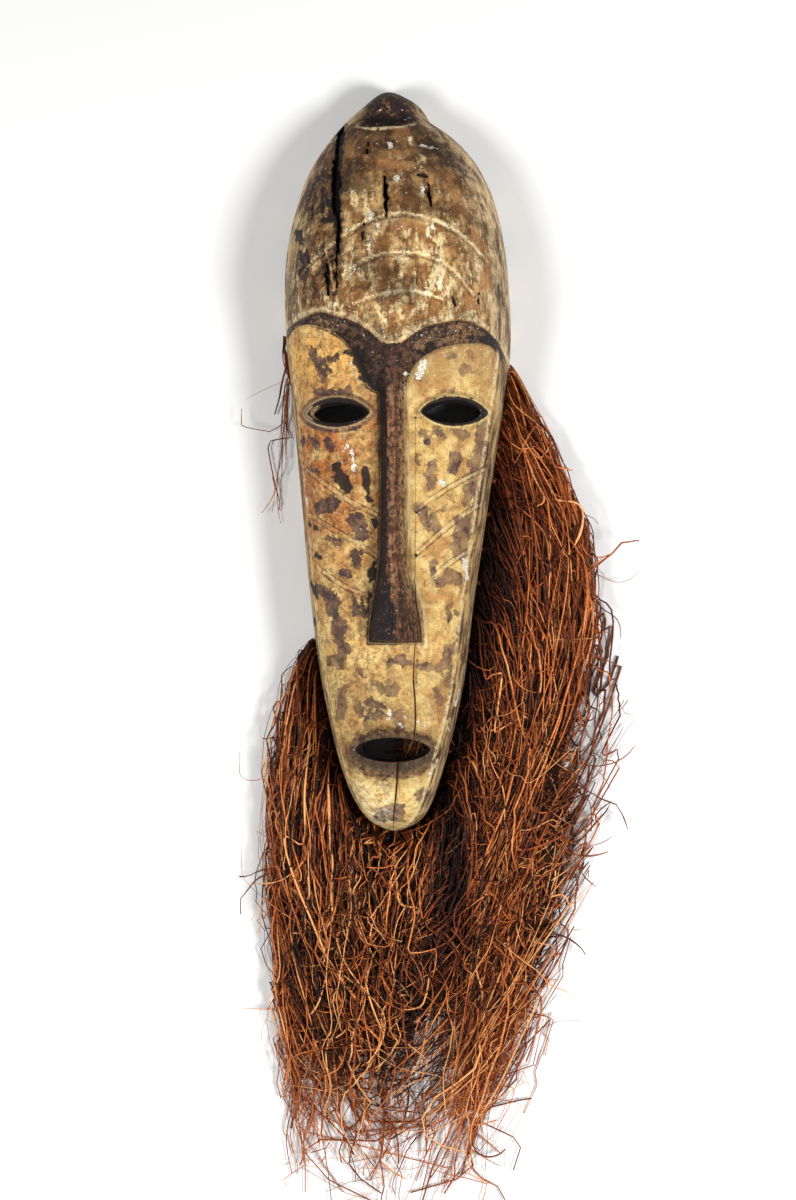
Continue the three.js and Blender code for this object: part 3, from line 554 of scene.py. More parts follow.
def bent_to_brows(level, x):
    """Rows run straight across, apart from round the brows, which they follow."""
    stops = [BROW_BELOW + 0 * x, brow_lower(x), brow_upper(x), BROW_ABOVE + 0 * x]
    levels = [BROW_BELOW, BROW_LOWER, BROW_UPPER, BROW_ABOVE]
    bent = level + 0 * x
    for k in range(3):
        share = (level - levels[k]) / (levels[k + 1] - levels[k])
        bent = np.where((share >= 0) & (share <= 1), stops[k] + share * (stops[k + 1] - stops[k]), bent)
    return bent


def column_shares():
    """Each column's place across a row: a constant, and its shares of the nose's middle and half width."""
    side = [(1 - (0.045 * j) ** 2.4) ** (1 / 3.5) for j in range(10)]
    cheek = np.linspace(0, 1, 60, endpoint=False)
    nose = np.linspace(1, 0, 10, endpoint=False)
    left = [(-s, 0, 0) for s in side] + [(-0.95 * (1 - u), u, -u) for u in cheek] + [(0, 1, -u) for u in nose]
    return np.array(left + [(0, 1, 0)] + [(-a, b, -c) for a, b, c in reversed(left)]).T


def carved_front():
    """The carved block as a closed mesh: vertices in metres and triangles."""
    constant, of_middle, of_half = column_shares()
    level = row_levels()[:, None]
    y = level + 0 * constant
    for _ in range(5):
        left, right = left_edge(y), right_edge(y)
        middle, half = (left + right) / 2, (right - left) / 2
        half_nose = np.minimum(nose_half_width(y) / np.maximum(half, 1e-6), 0.45)
        nose = np.clip((nose_middle(y) - middle) / np.maximum(half, 1), -0.2, 0.2)
        x = middle + (constant + of_middle * nose + of_half * half_nose) * half
        y = bent_to_brows(level, x)
    z = carved_height(x, y)
    z[:, [0, -1]] = 0
    z[[0, -1]] = 0
    vertices = np.stack([x, y, z], -1).reshape(-1, 3) * MM
    return merged(vertices, mound_faces(*x.shape))


HOLLOW_ROWS, HOLLOW_COLUMNS = 90, 48
HOLLOW_SQUARENESS, HOLLOW_ROUND = 3.2, 0.42
BELOW_BACK, TOP_OF_HOLLOW = -2.0, 120
THIN_BELOW = 8


def thinned(size, wall):
    """A size less the wall, which itself thins out where the size is small."""
    return size - wall * size / (size + THIN_BELOW)


def hollow():
    """The hollow behind the face, gouged a little unevenly."""
    outer = y_at_share(np.linspace(0, 1, HOLLOW_ROWS + 1))[:, None]
    s = np.sin(np.linspace(-1, 1, HOLLOW_COLUMNS + 1) * np.pi / 2)
    y = CROWN_Y - CROWN_WALL + (outer - CROWN_Y) / (CHIN_Y - CROWN_Y) * (CHIN_Y + WALL - CROWN_Y + CROWN_WALL)
    left, right = left_edge(outer), right_edge(outer)
    x = (left + right) / 2 + s * thinned((right - left) / 2, WALL + 1)
    y = y + 0 * x
    depth = thinned(face_profile(outer), FACE_WALL) + 0 * x
    z = depth * (1 - np.abs(s) ** HOLLOW_SQUARENESS) ** HOLLOW_ROUND
    gouges = np.abs(ripple(x, y * 0.5, 22, 41)) + 0.4 * ripple(x, y, 9, 42)
    z = z - gouges * smooth(z / 25) * 0.9
    z += BELOW_BACK * (1 - z / TOP_OF_HOLLOW)
    vertices = np.stack([x, y, z], -1).reshape(-1, 3) * MM
    return merged(vertices, mound_faces(*x.shape))


def loft_faces(rings, sides, start=0):
    """Quads between rings of a tube and fans over its ends, whose middles follow the rings."""
    index = start + np.arange(rings * sides).reshape(rings, sides)
    turned = np.roll(index, -1, axis=1)
    quads = np.stack([index[:-1], turned[:-1], turned[1:], index[1:]], -1).reshape(-1, 4)
    first, last = start + rings * sides, start + rings * sides + 1
    cap = np.stack([turned[0], index[0], np.full(sides, first), np.full(sides, -1)], -1)
    other = np.stack([index[-1], turned[-1], np.full(sides, last), np.full(sides, -1)], -1)
    return np.concatenate([quads, cap, other])


def lofts(bodies):
    """Several closed lofts, each an array of rings of points in millimetres, as one mesh."""
    vertices, faces, start = [], [], 0
    for rings in bodies:
        count, sides, _ = rings.shape
        vertices.append(np.concatenate([rings.reshape(-1, 3), [rings[0].mean(0)], [rings[-1].mean(0)]]))
        faces.append(loft_faces(count, sides, start))
        start += len(vertices[-1])
    return np.concatenate(vertices) * MM, np.concatenate(faces)


OPENING_SIDES = 72


def almond_ring(centre, half_length, half_height, sharpness, z):
    """Points round an almond at one height."""
    turn = np.linspace(0, 2 * np.pi, OPENING_SIDES, endpoint=False)
    rise = np.sign(np.sin(turn)) * np.abs(np.sin(turn)) ** sharpness
    x, y = centre[0] + half_length * np.cos(turn), centre[1] + half_height * rise
    return np.stack([x, y, z + 0 * x], -1)


def opening_cutter(centre, hole, inner, sharpness):
    """What an opening takes out, from inside the hollow to in front of the face, as rings of points."""
    face = float(front_height(np.array(centre[0]), np.array(centre[1])))
    steps = [
        (inner, 1.0, -45), (inner, 1.0, -16), (hole, 0.97, -6), (hole, 1.0, -2), (hole, 1.0, 1),
        (hole, 1.07, 14),
    ]
    return np.stack([
        almond_ring(centre, size[0] * grown, size[1] * grown, sharpness, face + z)
        for size, grown, z in steps
    ])


OPENINGS = [
    (EYES[0], (28, 9.3), (22, 8.3), EYE_SHARPNESS),
    (EYES[1], (28, 10.3), (22.5, 9), EYE_SHARPNESS),
    (MOUTH, (33, 10.8), (29, 9.6), MOUTH_SHARPNESS),
]

# The raffia's layout, as in the part's source

HOLE_RADIUS, HOLE_HEIGHT = 3.2, 12.0
FIRST_HOLE_Y, LAST_HOLE_Y, WISP_Y = -232.0, -482.0, -210.0
RIGHT_BUNCHES, CHIN_BUNCHES, LEFT_BUNCHES = 9, 7, 5
BUNCHES = RIGHT_BUNCHES + CHIN_BUNCHES + LEFT_BUNCHES


def back_edge():
    """The back edge from the first hole on the right, round the chin: place and outward way at a share."""
    step = 0.002
    right = np.arange(share_along(FIRST_HOLE_Y), 1, step)
    left = np.arange(1, share_along(LAST_HOLE_Y), -step)
    y = np.r_[y_at_share(right), y_at_share(left)]
    x = np.r_[right_edge(y_at_share(right)), left_edge(y_at_share(left))]
    run = np.r_[0, np.cumsum(np.hypot(np.diff(x), np.diff(y)))]
    way_x, way_y = np.gradient(x, run), np.gradient(y, run)
    size = np.hypot(way_x, way_y)

    def place(share):
        at = np.asarray(share) * run[-1]
        return np.stack([np.interp(at, run, x), np.interp(at, run, y)], -1)

    def outward(share):
        at = np.asarray(share) * run[-1]
        return np.stack([np.interp(at, run, -way_y / size), np.interp(at, run, way_x / size)], -1)

    return place, outward


edge_place, edge_outward = back_edge()
PARTINGS = [
    (0.0, (285, -560), (194, -594), (122, -960)),
    (0.2, (205, -600), (156, -690), (88, -980)),
    (0.44, (118, -620), (106, -790), (45, -992)),
    (0.6, (72, -650), (52, -850), (14, -995)),
    (0.71, (0, -700), (-4, -880), (-10, -998)),
    (0.78, (-50, -690), (-48, -860), (-38, -995)),
    (0.9, (-105, -640), (-90, -830), (-82, -985)),
    (1.0, (-152, -540), (-112, -820), (-114, -965)),
]
edge_clearance = curve_through([(0.5, 2), (0.6, 4), (0.68, 7.5), (0.74, 7.5), (0.8, 4), (0.9, 2)])


def place_curve(column):
    """One of the partings' places, in a column of their table, as a curve over the shares."""
    curves = [curve_through([(row[0], row[column][k]) for row in PARTINGS]) for k in (0, 1)]
    return lambda share: np.stack([curve(share) for curve in curves], -1)


lead_at, swell_at, hem_at = (place_curve(column) for column in (1, 2, 3))


def bezier(a, b, c, d, t):
    t = np.asarray(t)[..., None]
    return a * (1 - t) ** 3 + 3 * b * t * (1 - t) ** 2 + 3 * c * t * t * (1 - t) + d * t**3


def parting(share, t):
    """The place on the plan a share of the way down a parting, or out beside the first or last one."""
    beside = (share - np.clip(share, 0, 1)) * BREADTH
    share = np.clip(share, 0, 1)
    start = edge_place(share) + edge_outward(share) * edge_clearance(share)[..., None]
    place = bezier(start, lead_at(share), swell_at(share), hem_at(share), t)
    return place - np.stack([beside, 0 * beside], -1)


def wisp_parting(share, t):
    """The same for the thin wisp, whose two sides have shares 0 and 1."""
    x, y = float(left_edge(WISP_Y)), WISP_Y
    offset, end = -4 + 8 * share, 3 - 6 * share
    points = [(x - 2, y + offset), (x - 18, y + offset - 10), (-116 + end, -300), (-124 + end, -398)]
    return bezier(*(np.stack([px + 0 * share, py + 0 * share], -1) for px, py in points), t)


bunch_height = curve_through([(0, 15), (0.12, 24), (0.35, 25), (0.6, 19), (0.85, 10), (1, 3)])


def bunch_names():
    """The solids that the bunches stand for, from the right brow round the chin."""
    names = [f"raffia_right_{i + 1}" for i in range(RIGHT_BUNCHES)]
    names += [f"raffia_chin_{i + 1}" for i in range(CHIN_BUNCHES)]
    return names + [f"raffia_left_{i + 1}" for i in range(LEFT_BUNCHES)]


UP = np.array([0, 0, 1.0])
HOLE_SIDES, KNOT_SIDES = 12, 10
DRILLED_FROM, DRILLED_TO = -WALL - 12, 6


def ring_across(out, sides):
    """Points of a unit circle at right angles to the way out through a hole."""
    turn = np.linspace(0, 2 * np.pi, sides, endpoint=False)[:, None]
    return np.cos(turn) * np.array([-out[1], out[0], 0]) + np.sin(turn) * UP


def hole_rings(place, out):
    """A drill through the wall at a hole: a ring inside and one outside."""
    ring = HOLE_RADIUS * ring_across(out, HOLE_SIDES)
    middle = np.array([*place, HOLE_HEIGHT])
    way = np.array([*out, 0])
    return np.stack([middle + way * at + ring for at in (DRILLED_FROM, DRILLED_TO)])


def all_holes():
    """Each hole's place and outward way on the plan, the wisp's last."""
    shares = (np.arange(BUNCHES) + 0.5) / BUNCHES
    places = list(zip(edge_place(shares), edge_outward(shares)))
    return places + [(np.array([float(left_edge(WISP_Y)), WISP_Y]), np.array([-1.0, 0.0]))]


# Shader building


def linear(red, green, blue):
    """A colour given as it is seen on screen, 0 to 255, as the linear one that shaders take."""
    def turned(value):
        value /= 255
        return value / 12.92 if value <= 0.04045 else ((value + 0.055) / 1.055) ** 2.4
    return (turned(red), turned(green), turned(blue), 1.0)


class Shade:
    """An output of a material's nodes. Arithmetic on it writes Math nodes, node() writes any other."""

    def __init__(self, tree, socket=None):
        self.tree, self.socket = tree, socket

    def node(self, kind, settings=None, inputs=None, output=0):
        """Adds a node with its settings and its inputs, each a value or a Shade, and gives one output."""
        made = self.tree.nodes.new(kind)
        for name, setting in (settings or {}).items():
            if name == "stops":
                while len(made.color_ramp.elements) < len(setting):
                    made.color_ramp.elements.new(0.5)
                for stop, (at, colour) in zip(made.color_ramp.elements, setting):
                    stop.position, stop.color = at, colour
            else:
                setattr(made, name, setting)
        for name, value in (inputs or {}).items():
            if isinstance(value, Shade):
                self.tree.links.new(value.socket, made.inputs[name])
            else:
                made.inputs[name].default_value = value
        return Shade(self.tree, made.outputs[output])

    def math(self, operation, *values, clamp=False):
        settings = {"operation": operation, "use_clamp": clamp}
        return self.node("ShaderNodeMath", settings, dict(enumerate(values)))

    def __add__(self, other):
        return self.math("ADD", self, other)

    def __sub__(self, other):
        return self.math("SUBTRACT", self, other)

    def __rsub__(self, other):
        return self.math("SUBTRACT", other, self)

    def __mul__(self, other):
        return self.math("MULTIPLY", self, other)

    def __truediv__(self, other):
        return self.math("DIVIDE", self, other)

    def __abs__(self):
        return self.math("ABSOLUTE", self)

    __radd__, __rmul__ = __add__, __mul__

    def least(self, other):
        return self.math("MINIMUM", self, other)

    def most(self, other):
        return self.math("MAXIMUM", self, other)

    def ramp(self, start, end, low=0.0, high=1.0):
        """A smooth change from low to high as this value goes from start to end."""
        settings = {"interpolation_type": "SMOOTHSTEP"}
        return self.node("ShaderNodeMapRange", settings, {0: self, 1: start, 2: end, 3: low, 4: high})

    def within(self, centre, reach):
        """1 where this value is at the centre, falling to 0 a reach to either side."""
        return abs(self - centre).ramp(reach, 0)

    def mix(self, low, high, blend="MIX"):
        """A colour from low to high by this share."""
        settings = {"data_type": "RGBA", "blend_type": blend}
        return self.node("ShaderNodeMix", settings, {0: self, 6: low, 7: high}, output=2)

    def shaded(self, amount):
        """This colour made darker or lighter by a value."""
        settings = {"data_type": "RGBA", "blend_type": "MULTIPLY"}
        return self.node("ShaderNodeMix", settings, {0: 1.0, 6: self, 7: amount}, output=2)

    def noise(self, size, detail=4.0, roughness=0.55, stretch=(1, 1, 1), shift=0.0, warp=0.0):
        """Patches about this many millimetres across over these places, as a value about 0.5."""
        scale = [part / (size * MM) for part in stretch]
        settings = {"operation": "MULTIPLY_ADD"}
        moved = (shift, shift * 0.7, shift * 1.3)
        places = self.node("ShaderNodeVectorMath", settings, {0: self, 1: scale, 2: moved})
        return self.node("ShaderNodeTexNoise", {}, {
            "Vector": places, "Scale": 1.0, "Detail": detail, "Roughness": roughness, "Distortion": warp,
        })


def new_material(name):
    """An empty node material, and a Shade to build on."""
    material = bpy.data.materials.new(name)
    material.use_nodes = True
    material.node_tree.nodes.clear()
    return material, Shade(material.node_tree)


def finish_material(base, shader):
    output = base.tree.nodes.new("ShaderNodeOutputMaterial")
    base.tree.links.new(shader.socket, output.inputs["Surface"])


INK_AND_SHADE = linear(10, 8, 7)
BLACKENED_AND_SHADE = linear(28, 20, 22)
BROW_DARK = linear(42, 27, 21)
BROW_PALE = linear(136, 110, 76)
BROW_RED = linear(104, 48, 28)
ORANGE_WEAR_AND_SHINE = linear(184, 106, 50)
NOSE_BROWN = linear(80, 47, 33)
FOREHEAD_DARK = linear(54, 33, 19)
FOREHEAD_ORANGE = linear(162, 112, 62)
FOREHEAD_RUST = linear(136, 90, 54)
FLANK_BROWN = linear(98, 70, 46)
PALE_FILL_AND_HIGHLIGHT = linear(226, 204, 158)
CHALK = linear(244, 238, 222)
OCHRE_DEEP = linear(184, 138, 80)
GOLDEN = linear(226, 172, 92)
STAIN = linear(150, 112, 74)
BLOTCH_DARK = linear(66, 48, 48)
LIP_BROWN = linear(116, 84, 56)
INSIDE_WOOD_AND_SHADE = linear(28, 20, 15)


class Wood:
    """What the layers of paint share: places in millimetres, distances to the carving, and noise."""

    def __init__(self, settings, base):
        self.settings, self.base = settings, base
        place = base.node("ShaderNodeTexCoord", output="Object")
        self.place = place
        self.across, self.along, self.high = (
            base.node("ShaderNodeSeparateXYZ", {}, {0: place}, output=k) * (1 / MM) for k in (0, 1, 2))
        self.above, self.ridge, self.side = self.mark("above"), self.mark("ridge"), self.mark("nose_side")
        self.lid, self.lip, self.split = self.mark("lid"), self.mark("lip"), self.mark("split")
        self.left_rim, self.right_rim = self.mark("left_rim"), self.mark("right_rim")
        self.depth = self.mark("depth")
        self.left_side = self.across.ramp(4, -4)
        self.on_front = self.left_rim.least(self.right_rim).ramp(1.2, 3.2)

        self.fine_wobble = (place.noise(2.4, 4, 0.6, shift=2) - 0.5) * 6
        wobble = (place.noise(11, 3, shift=4) - 0.5) * 17 + (place.noise(4, 4, 0.6, shift=5) - 0.5) * 9
        self.wobble = wobble + self.fine_wobble * 0.5
        self.grain = place.noise(2.2, 6, 0.62, stretch=(1, 0.06, 1), shift=3)
        self.streaks = place.noise(8, 6, 0.64, stretch=(1, 0.14, 1), shift=8)
        self.specks = place.noise(1.3, 3, 0.6, shift=21)
        self.grime = place.noise(5, 8, 0.7, shift=17)
        self.soot = place.noise(15, 8, 0.7, stretch=(1, 0.55, 1), shift=27)
        self.mottle = place.noise(12, 7, 0.62, stretch=(1, 0.6, 1), shift=101)

        freckle = place.noise(9, 4, 0.6, stretch=(1, 0.6, 1), shift=51).ramp(0.64, 0.67)
        blotch = (self.mark("blotch") + self.wobble * 0.9 - 0.5).ramp(1.0, -0.5)
        self.blotch = blotch.most(freckle * 0.6)
        chips_and_highlights = self.mark("pale") + self.wobble * 0.5 + self.fine_wobble * 0.6 + 0.3
        self.chips_and_highlights = chips_and_highlights.ramp(0.5, -0.5) * self.specks.ramp(0.36, 0.48)
        in_ridge = (self.ridge + self.fine_wobble * 0.35).ramp(-0.6, 0.8)
        self.in_ridge = in_ridge * (self.high + self.wobble * 2).ramp(28, 62)

    def paint(self, name):
        """One of the settings' colours."""
        return (*getattr(self.settings, name), 1.0)

    def mark(self, name):
        """One of the values that the mesh carries for its paint."""
        return self.base.node("ShaderNodeAttribute", {"attribute_name": name}, output="Fac")


def face_paint(wood):
    """The ochre face, with its orange cheek, blotches, filled lines and dirt."""
    place, across, along, above, lip = wood.place, wood.across, wood.along, wood.above, wood.lip
    fine_wobble, grain, specks, grime = wood.fine_wobble, wood.grain, wood.specks, wood.grime
    left_side, blotch = wood.left_side, wood.blotch
    face = place.noise(26, 6, 0.6, shift=11).ramp(0.4, 0.54).mix(OCHRE_DEEP, wood.paint("ochre"))
    face = (place.noise(16, 6, 0.58, shift=31).ramp(0.46, 0.6) * 0.65).mix(face, wood.paint("pale_ochre"))
    face = (place.noise(9, 6, 0.64, shift=35).ramp(0.55, 0.62) * 0.45).mix(face, STAIN)
    chin = along.ramp(-600, -625)
    pale_chin = chin * place.noise(12, 6, 0.68, shift=37).ramp(0.4, 0.52)
    face = (pale_chin * 0.85).mix(face, wood.paint("pale_ochre"))
    yellowed = across.ramp(-46, -22) * place.noise(12, 6, 0.66, shift=45).ramp(0.4, 0.56)
    orange = wood.mark("orange") * (1 - yellowed * 0.75)
    face = (orange * place.noise(17, 6, 0.66, shift=41).ramp(0.36, 0.54)).mix(face, wood.paint("orange"))
    face = (orange * place.noise(6, 6, 0.7, shift=43).ramp(0.53, 0.6) * 0.6).mix(face, BROW_RED)
    golden = across.ramp(-14, -24) * along.within(-238, 36)
    golden = golden * place.noise(15, 5, 0.6, shift=115).ramp(0.34, 0.46)
    face = (golden * 0.8).mix(face, GOLDEN)
    darker = (place.noise(9, 6, 0.66, shift=61) + left_side * 0.06).ramp(0.44, 0.62)
    faint = place.noise(14, 4, shift=65).ramp(0.58, 0.42, 0.68, 1.0).most(left_side * along.ramp(-520, -470))
    blotch_colour = darker.mix(wood.paint("blotches"), BLOTCH_DARK)
    face = (blotch * faint * grime.ramp(0.3, 0.55, 0.6, 1.0)).mix(face, blotch_colour)
    cheek_line = wood.mark("cheek_line") + fine_wobble * 0.35
    worn_line = place.noise(9, 4, 0.6, shift=64)
    filled = cheek_line.ramp(0.5, -0.9) * worn_line.ramp(0.4, 0.6)
    face = (filled * (0.85 - left_side * 0.5)).mix(face, PALE_FILL_AND_HIGHLIGHT)
    face = (cheek_line.within(1.0, 1.1) * worn_line.ramp(0.64, 0.42) * 0.85).mix(face, BLOTCH_DARK)
    face = (specks.ramp(0.64, 0.7) * 0.5).mix(face, BLOTCH_DARK)
    olive = along.within(-540, 50) * place.noise(16, 7, 0.7, shift=69).ramp(0.42, 0.58)
    face = (olive * 0.45).mix(face, STAIN)
    chalked = chin * across.ramp(8, -8) * place.noise(6, 8, 0.78, shift=67).ramp(0.48, 0.56)
    face = (chalked * 0.35).mix(face, CHALK)
    under_brow = above.ramp(-62, -28) * across.ramp(10, 24)
    face = (under_brow * grime.ramp(0.4, 0.56) * 0.75).mix(face, STAIN)
    face = face.shaded((grime * 0.5 + grain * 0.15 + specks * 0.35).ramp(0.4, 0.58, 0.62, 1.1))
    face = face.shaded(1 - left_side * grime.ramp(0.52, 0.42) * 0.3)
    face = face.shaded(1 - along.within(-535, 45) * 0.14 - lip.within(3, 9) * 0.2)
    return face


def forehead_paint(wood):
    """The forehead and the crown, darker towards the crown and to the left."""
    place, across, along, above, left_rim = wood.place, wood.across, wood.along, wood.above, wood.left_rim
    fine_wobble, wobble, streaks, specks = wood.fine_wobble, wood.wobble, wood.streaks, wood.specks
    grime, mottle = wood.grime, wood.mottle
    broad = place.noise(34, 4, 0.5, shift=104)
    lighter = (mottle * 0.75 + streaks * 0.25).ramp(0.44, 0.56)
    forehead = lighter.mix(wood.paint("crown"), wood.paint("forehead"))
    forehead = (place.noise(15, 6, 0.6, shift=103).ramp(0.5, 0.6) * 0.5).mix(forehead, FOREHEAD_ORANGE)
    low_down = along.ramp(-95, -150)
    cream = place.noise(9, 7, 0.66, stretch=(1, 0.5, 1), shift=105).ramp(0.53, 0.6)
    forehead = (cream * (low_down * 0.5 + 0.25)).mix(forehead, PALE_FILL_AND_HIGHLIGHT)
    to_flank = (left_rim * 1.15).least(wood.right_rim) + wobble * 2
    flank = place.noise(16, 7, 0.64, stretch=(1, 0.4, 1), shift=71).ramp(0.4, 0.54)
    flank = flank.mix(FLANK_BROWN, wood.paint("flanks"))
    flank = (cream * 0.45).mix(flank, PALE_FILL_AND_HIGHLIGHT)
    forehead = to_flank.ramp(32, 15).mix(forehead, flank)
    crown = (along + wobble * 2).ramp(-118, -70) * to_flank.ramp(12, 26)
    side_dark = (abs(across - 5) + wobble * 1.5).ramp(20, 48).most((along + wobble).ramp(-62, -45))
    burnt = (streaks * 0.3 + mottle * 0.4 + broad * 0.3).ramp(0.44, 0.58)
    burnt = burnt.mix(FOREHEAD_DARK, wood.paint("crown"))
    forehead = (crown * (side_dark * 0.45 + 0.45)).mix(forehead, burnt)
    old_side = (across + wobble * 2).ramp(-46, -56) * (along + wobble).ramp(-235, -185)
    old_side = old_side * left_rim.ramp(4, 16)
    old_side = old_side * place.noise(9, 8, 0.74, stretch=(1, 0.5, 1), shift=107).ramp(0.44, 0.54)
    forehead = (old_side * 0.85).mix(forehead, FOREHEAD_DARK)
    beside_split = (wood.split + wobble * 1.2).ramp(7, 0.5) * across.ramp(-38, -44)
    forehead = (beside_split * 0.8).mix(forehead, grime.ramp(0.45, 0.58).mix(INK_AND_SHADE, wood.paint("crown")))
    knob = (along + wobble).ramp(-27, -19) * (abs(across + 4) + wobble).ramp(30, 18)
    knob_colour = place.noise(7, 6, 0.66, shift=75).ramp(0.52, 0.66).mix(BLACKENED_AND_SHADE, wood.paint("crown"))
    forehead = (knob * 0.95).mix(forehead, knob_colour)
    # Painted shade: black in the scoop at the knob's foot
    forehead = (knob * (along + wobble).within(-20, 9) * 0.9).mix(forehead, INK_AND_SHADE)
    rusty = (wood.mark("rusty") + wobble * 0.55).ramp(1.0, -0.8) * mottle.ramp(0.36, 0.5)
    rust = place.noise(9, 5, shift=99).ramp(0.4, 0.6).mix(FOREHEAD_RUST, FOREHEAD_ORANGE)
    forehead = (rusty * 0.8).mix(forehead, rust)
    drips = (wood.mark("cream") + wobble * 0.5 + fine_wobble * 0.4).ramp(0.8, -1.0) * grime.ramp(0.36, 0.5)
    forehead = (drips * 0.85).mix(forehead, streaks.ramp(0.52, 0.62).mix(wood.paint("cream"), CHALK))
    dark_runs = place.noise(6, 6, 0.68, stretch=(1, 0.25, 1), shift=85).ramp(0.57, 0.63)
    forehead = (dark_runs * 0.6).mix(forehead, FOREHEAD_DARK)
    arc = wood.mark("arc") + fine_wobble * 0.9 + 0.4
    arc_fill = arc.ramp(0.6, -0.8) * place.noise(7, 6, 0.7, shift=83).ramp(0.38, 0.54)
    forehead = (arc_fill * 0.9).mix(forehead, PALE_FILL_AND_HIGHLIGHT)
    forehead = (arc.within(2.0, 1.6) * grime.ramp(0.44, 0.56) * 0.6).mix(forehead, FOREHEAD_DARK)
    pore = place.noise(1.9, 3, 0.6, stretch=(1, 0.14, 1), shift=87).ramp(0.62, 0.68)
    forehead = (pore * 0.75).mix(forehead, FOREHEAD_DARK)
    rim_light = above.within(3.0, 4.0) * grime.ramp(0.38, 0.56)
    forehead = (rim_light * 0.6).mix(forehead, PALE_FILL_AND_HIGHLIGHT)
    forehead = forehead.shaded((grime * 0.35 + broad * 0.45 + specks * 0.2).ramp(0.42, 0.57, 0.44, 1.28))
    return forehead


def brow_paint(wood):
    """The dark brows, worn at their outer ends."""
    place, across, above, ridge, wobble = wood.place, wood.across, wood.above, wood.ridge, wood.wobble
    streaks, grime, soot = wood.streaks, wood.grime, wood.soot
    dark = (grime * 0.5 + soot * 0.5 + across * 0.0003).ramp(0.46, 0.55).mix(BROW_DARK, wood.paint("brows"))
    middle = abs(across + 8 + wobble).ramp(38, 18)
    dark = (middle * 0.8).mix(dark, (soot * 0.5 + streaks * 0.5).ramp(0.45, 0.6).mix(BROW_DARK, NOSE_BROWN))
    outer_left = (across + wobble).ramp(-34, -52)
    worn = place.noise(5, 7, 0.74, shift=89).ramp(0.5, 0.58)
    dark = (worn * (outer_left * 0.75 + across.ramp(12, 34, 0.1, 0.55))).mix(dark, BROW_PALE)
    dark = (above.within(-1.6, 1.6) * grime.ramp(0.42, 0.56) * 0.5).mix(dark, BROW_RED)
    under_edge = ridge.within(1.0, 2.6) * above.ramp(-4, -8)
    dark = (under_edge * soot.ramp(0.62, 0.46) * 0.9).mix(dark, BLACKENED_AND_SHADE)
    dark = (above.within(-2.6, 2.2) * soot.ramp(0.38, 0.5) * 0.85).mix(dark, BLACKENED_AND_SHADE)
    rust_end = (across + wobble).within(64, 16) * place.noise(6, 6, 0.7, shift=95).ramp(0.5, 0.57)
    dark = (rust_end * 0.5).mix(dark, FOREHEAD_ORANGE)
    dark = ((across + wobble).ramp(72, 84) * 0.85).mix(dark, BLACKENED_AND_SHADE)
    return dark


def nose_paint(wood):
    """The nose: black paint and painted shade along its left flank, painted highlights on its crest and its
    right flank.
    """
    place, side, wobble, grime, soot = wood.place, wood.side, wood.wobble, wood.grime, wood.soot
    nose_streak = place.noise(2.2, 6, 0.66, stretch=(1, 0.05, 1), shift=93)
    lit = side + (nose_streak - 0.5) * 0.7 + (grime - 0.5) * 0.5
    low_end = (wood.along + wobble).ramp(-425, -465)
    nose = (nose_streak * 0.4 + soot * 0.6).ramp(0.42, 0.58).mix(NOSE_BROWN, wood.paint("nose"))
    # Painted highlight along the crest
    nose = (side.within(-0.05, 0.5) * soot.ramp(0.4, 0.56) * 0.4).mix(nose, BROW_PALE)
    # Painted light: the right flank paler
    nose = (lit.ramp(0.4, 0.8) * 0.8).mix(nose, grime.ramp(0.42, 0.56).mix(wood.paint("brows"), BROW_PALE))
    nose = (side.within(0.45, 0.3) * 0.5).mix(nose, BROW_DARK)
    nose = (low_end * 0.75).mix(nose, nose_streak.ramp(0.5, 0.62).mix(BROW_DARK, NOSE_BROWN))
    # Black paint and painted shade along the left flank
    nose = (lit - low_end * 0.35).ramp(-0.2, -0.36).mix(nose, BLACKENED_AND_SHADE)
    # Painted highlight: orange shine where the nose is lit
    shine = place.noise(3.4, 6, 0.74, stretch=(1, 0.3, 1), shift=91).ramp(0.57, 0.64) * lit.ramp(-0.6, 0)
    nose = (shine * 0.6).mix(nose, ORANGE_WEAR_AND_SHINE)
    return nose


def with_ridge(wood, colour):
    """This colour with the brows and the nose over it, and along their edges a pale stripe right of the nose,
    partly painted light, and painted shade in the groove, darkest on the left.
    """
    place, above, ridge, side, fine_wobble = wood.place, wood.above, wood.ridge, wood.side, wood.fine_wobble
    grain, streaks, grime, in_ridge = wood.grain, wood.streaks, wood.grime, wood.in_ridge
    dark = above.ramp(-20, -45).mix(brow_paint(wood), nose_paint(wood))
    dark = (place.noise(3.2, 5, 0.66, shift=97).ramp(0.64, 0.68) * 0.6).mix(dark, ORANGE_WEAR_AND_SHINE)
    dark = dark.shaded((grime * 0.7 + grain * 0.3).ramp(0.42, 0.57, 0.26, 1.45))
    colour = in_ridge.mix(colour, dark)
    # Pale stripe right of the nose, partly painted light on its lit side
    beside = (ridge + fine_wobble * 0.5).within(-3.0, 2.6) * side.ramp(0.6, 1.1) * above.ramp(-30, -60)
    colour = (beside * 0.7).mix(colour, streaks.ramp(0.4, 0.55).mix(STAIN, PALE_FILL_AND_HIGHLIGHT))
    # Painted shade in the groove round the nose and under the brows, darkest left of the nose
    groove = (ridge + fine_wobble * 0.4).within(-0.9, 1.5) * above.ramp(-8, -14)
    colour = (groove * side.ramp(0.9, -0.2, 0.35, 0.95)).mix(colour, BLACKENED_AND_SHADE)
    return colour


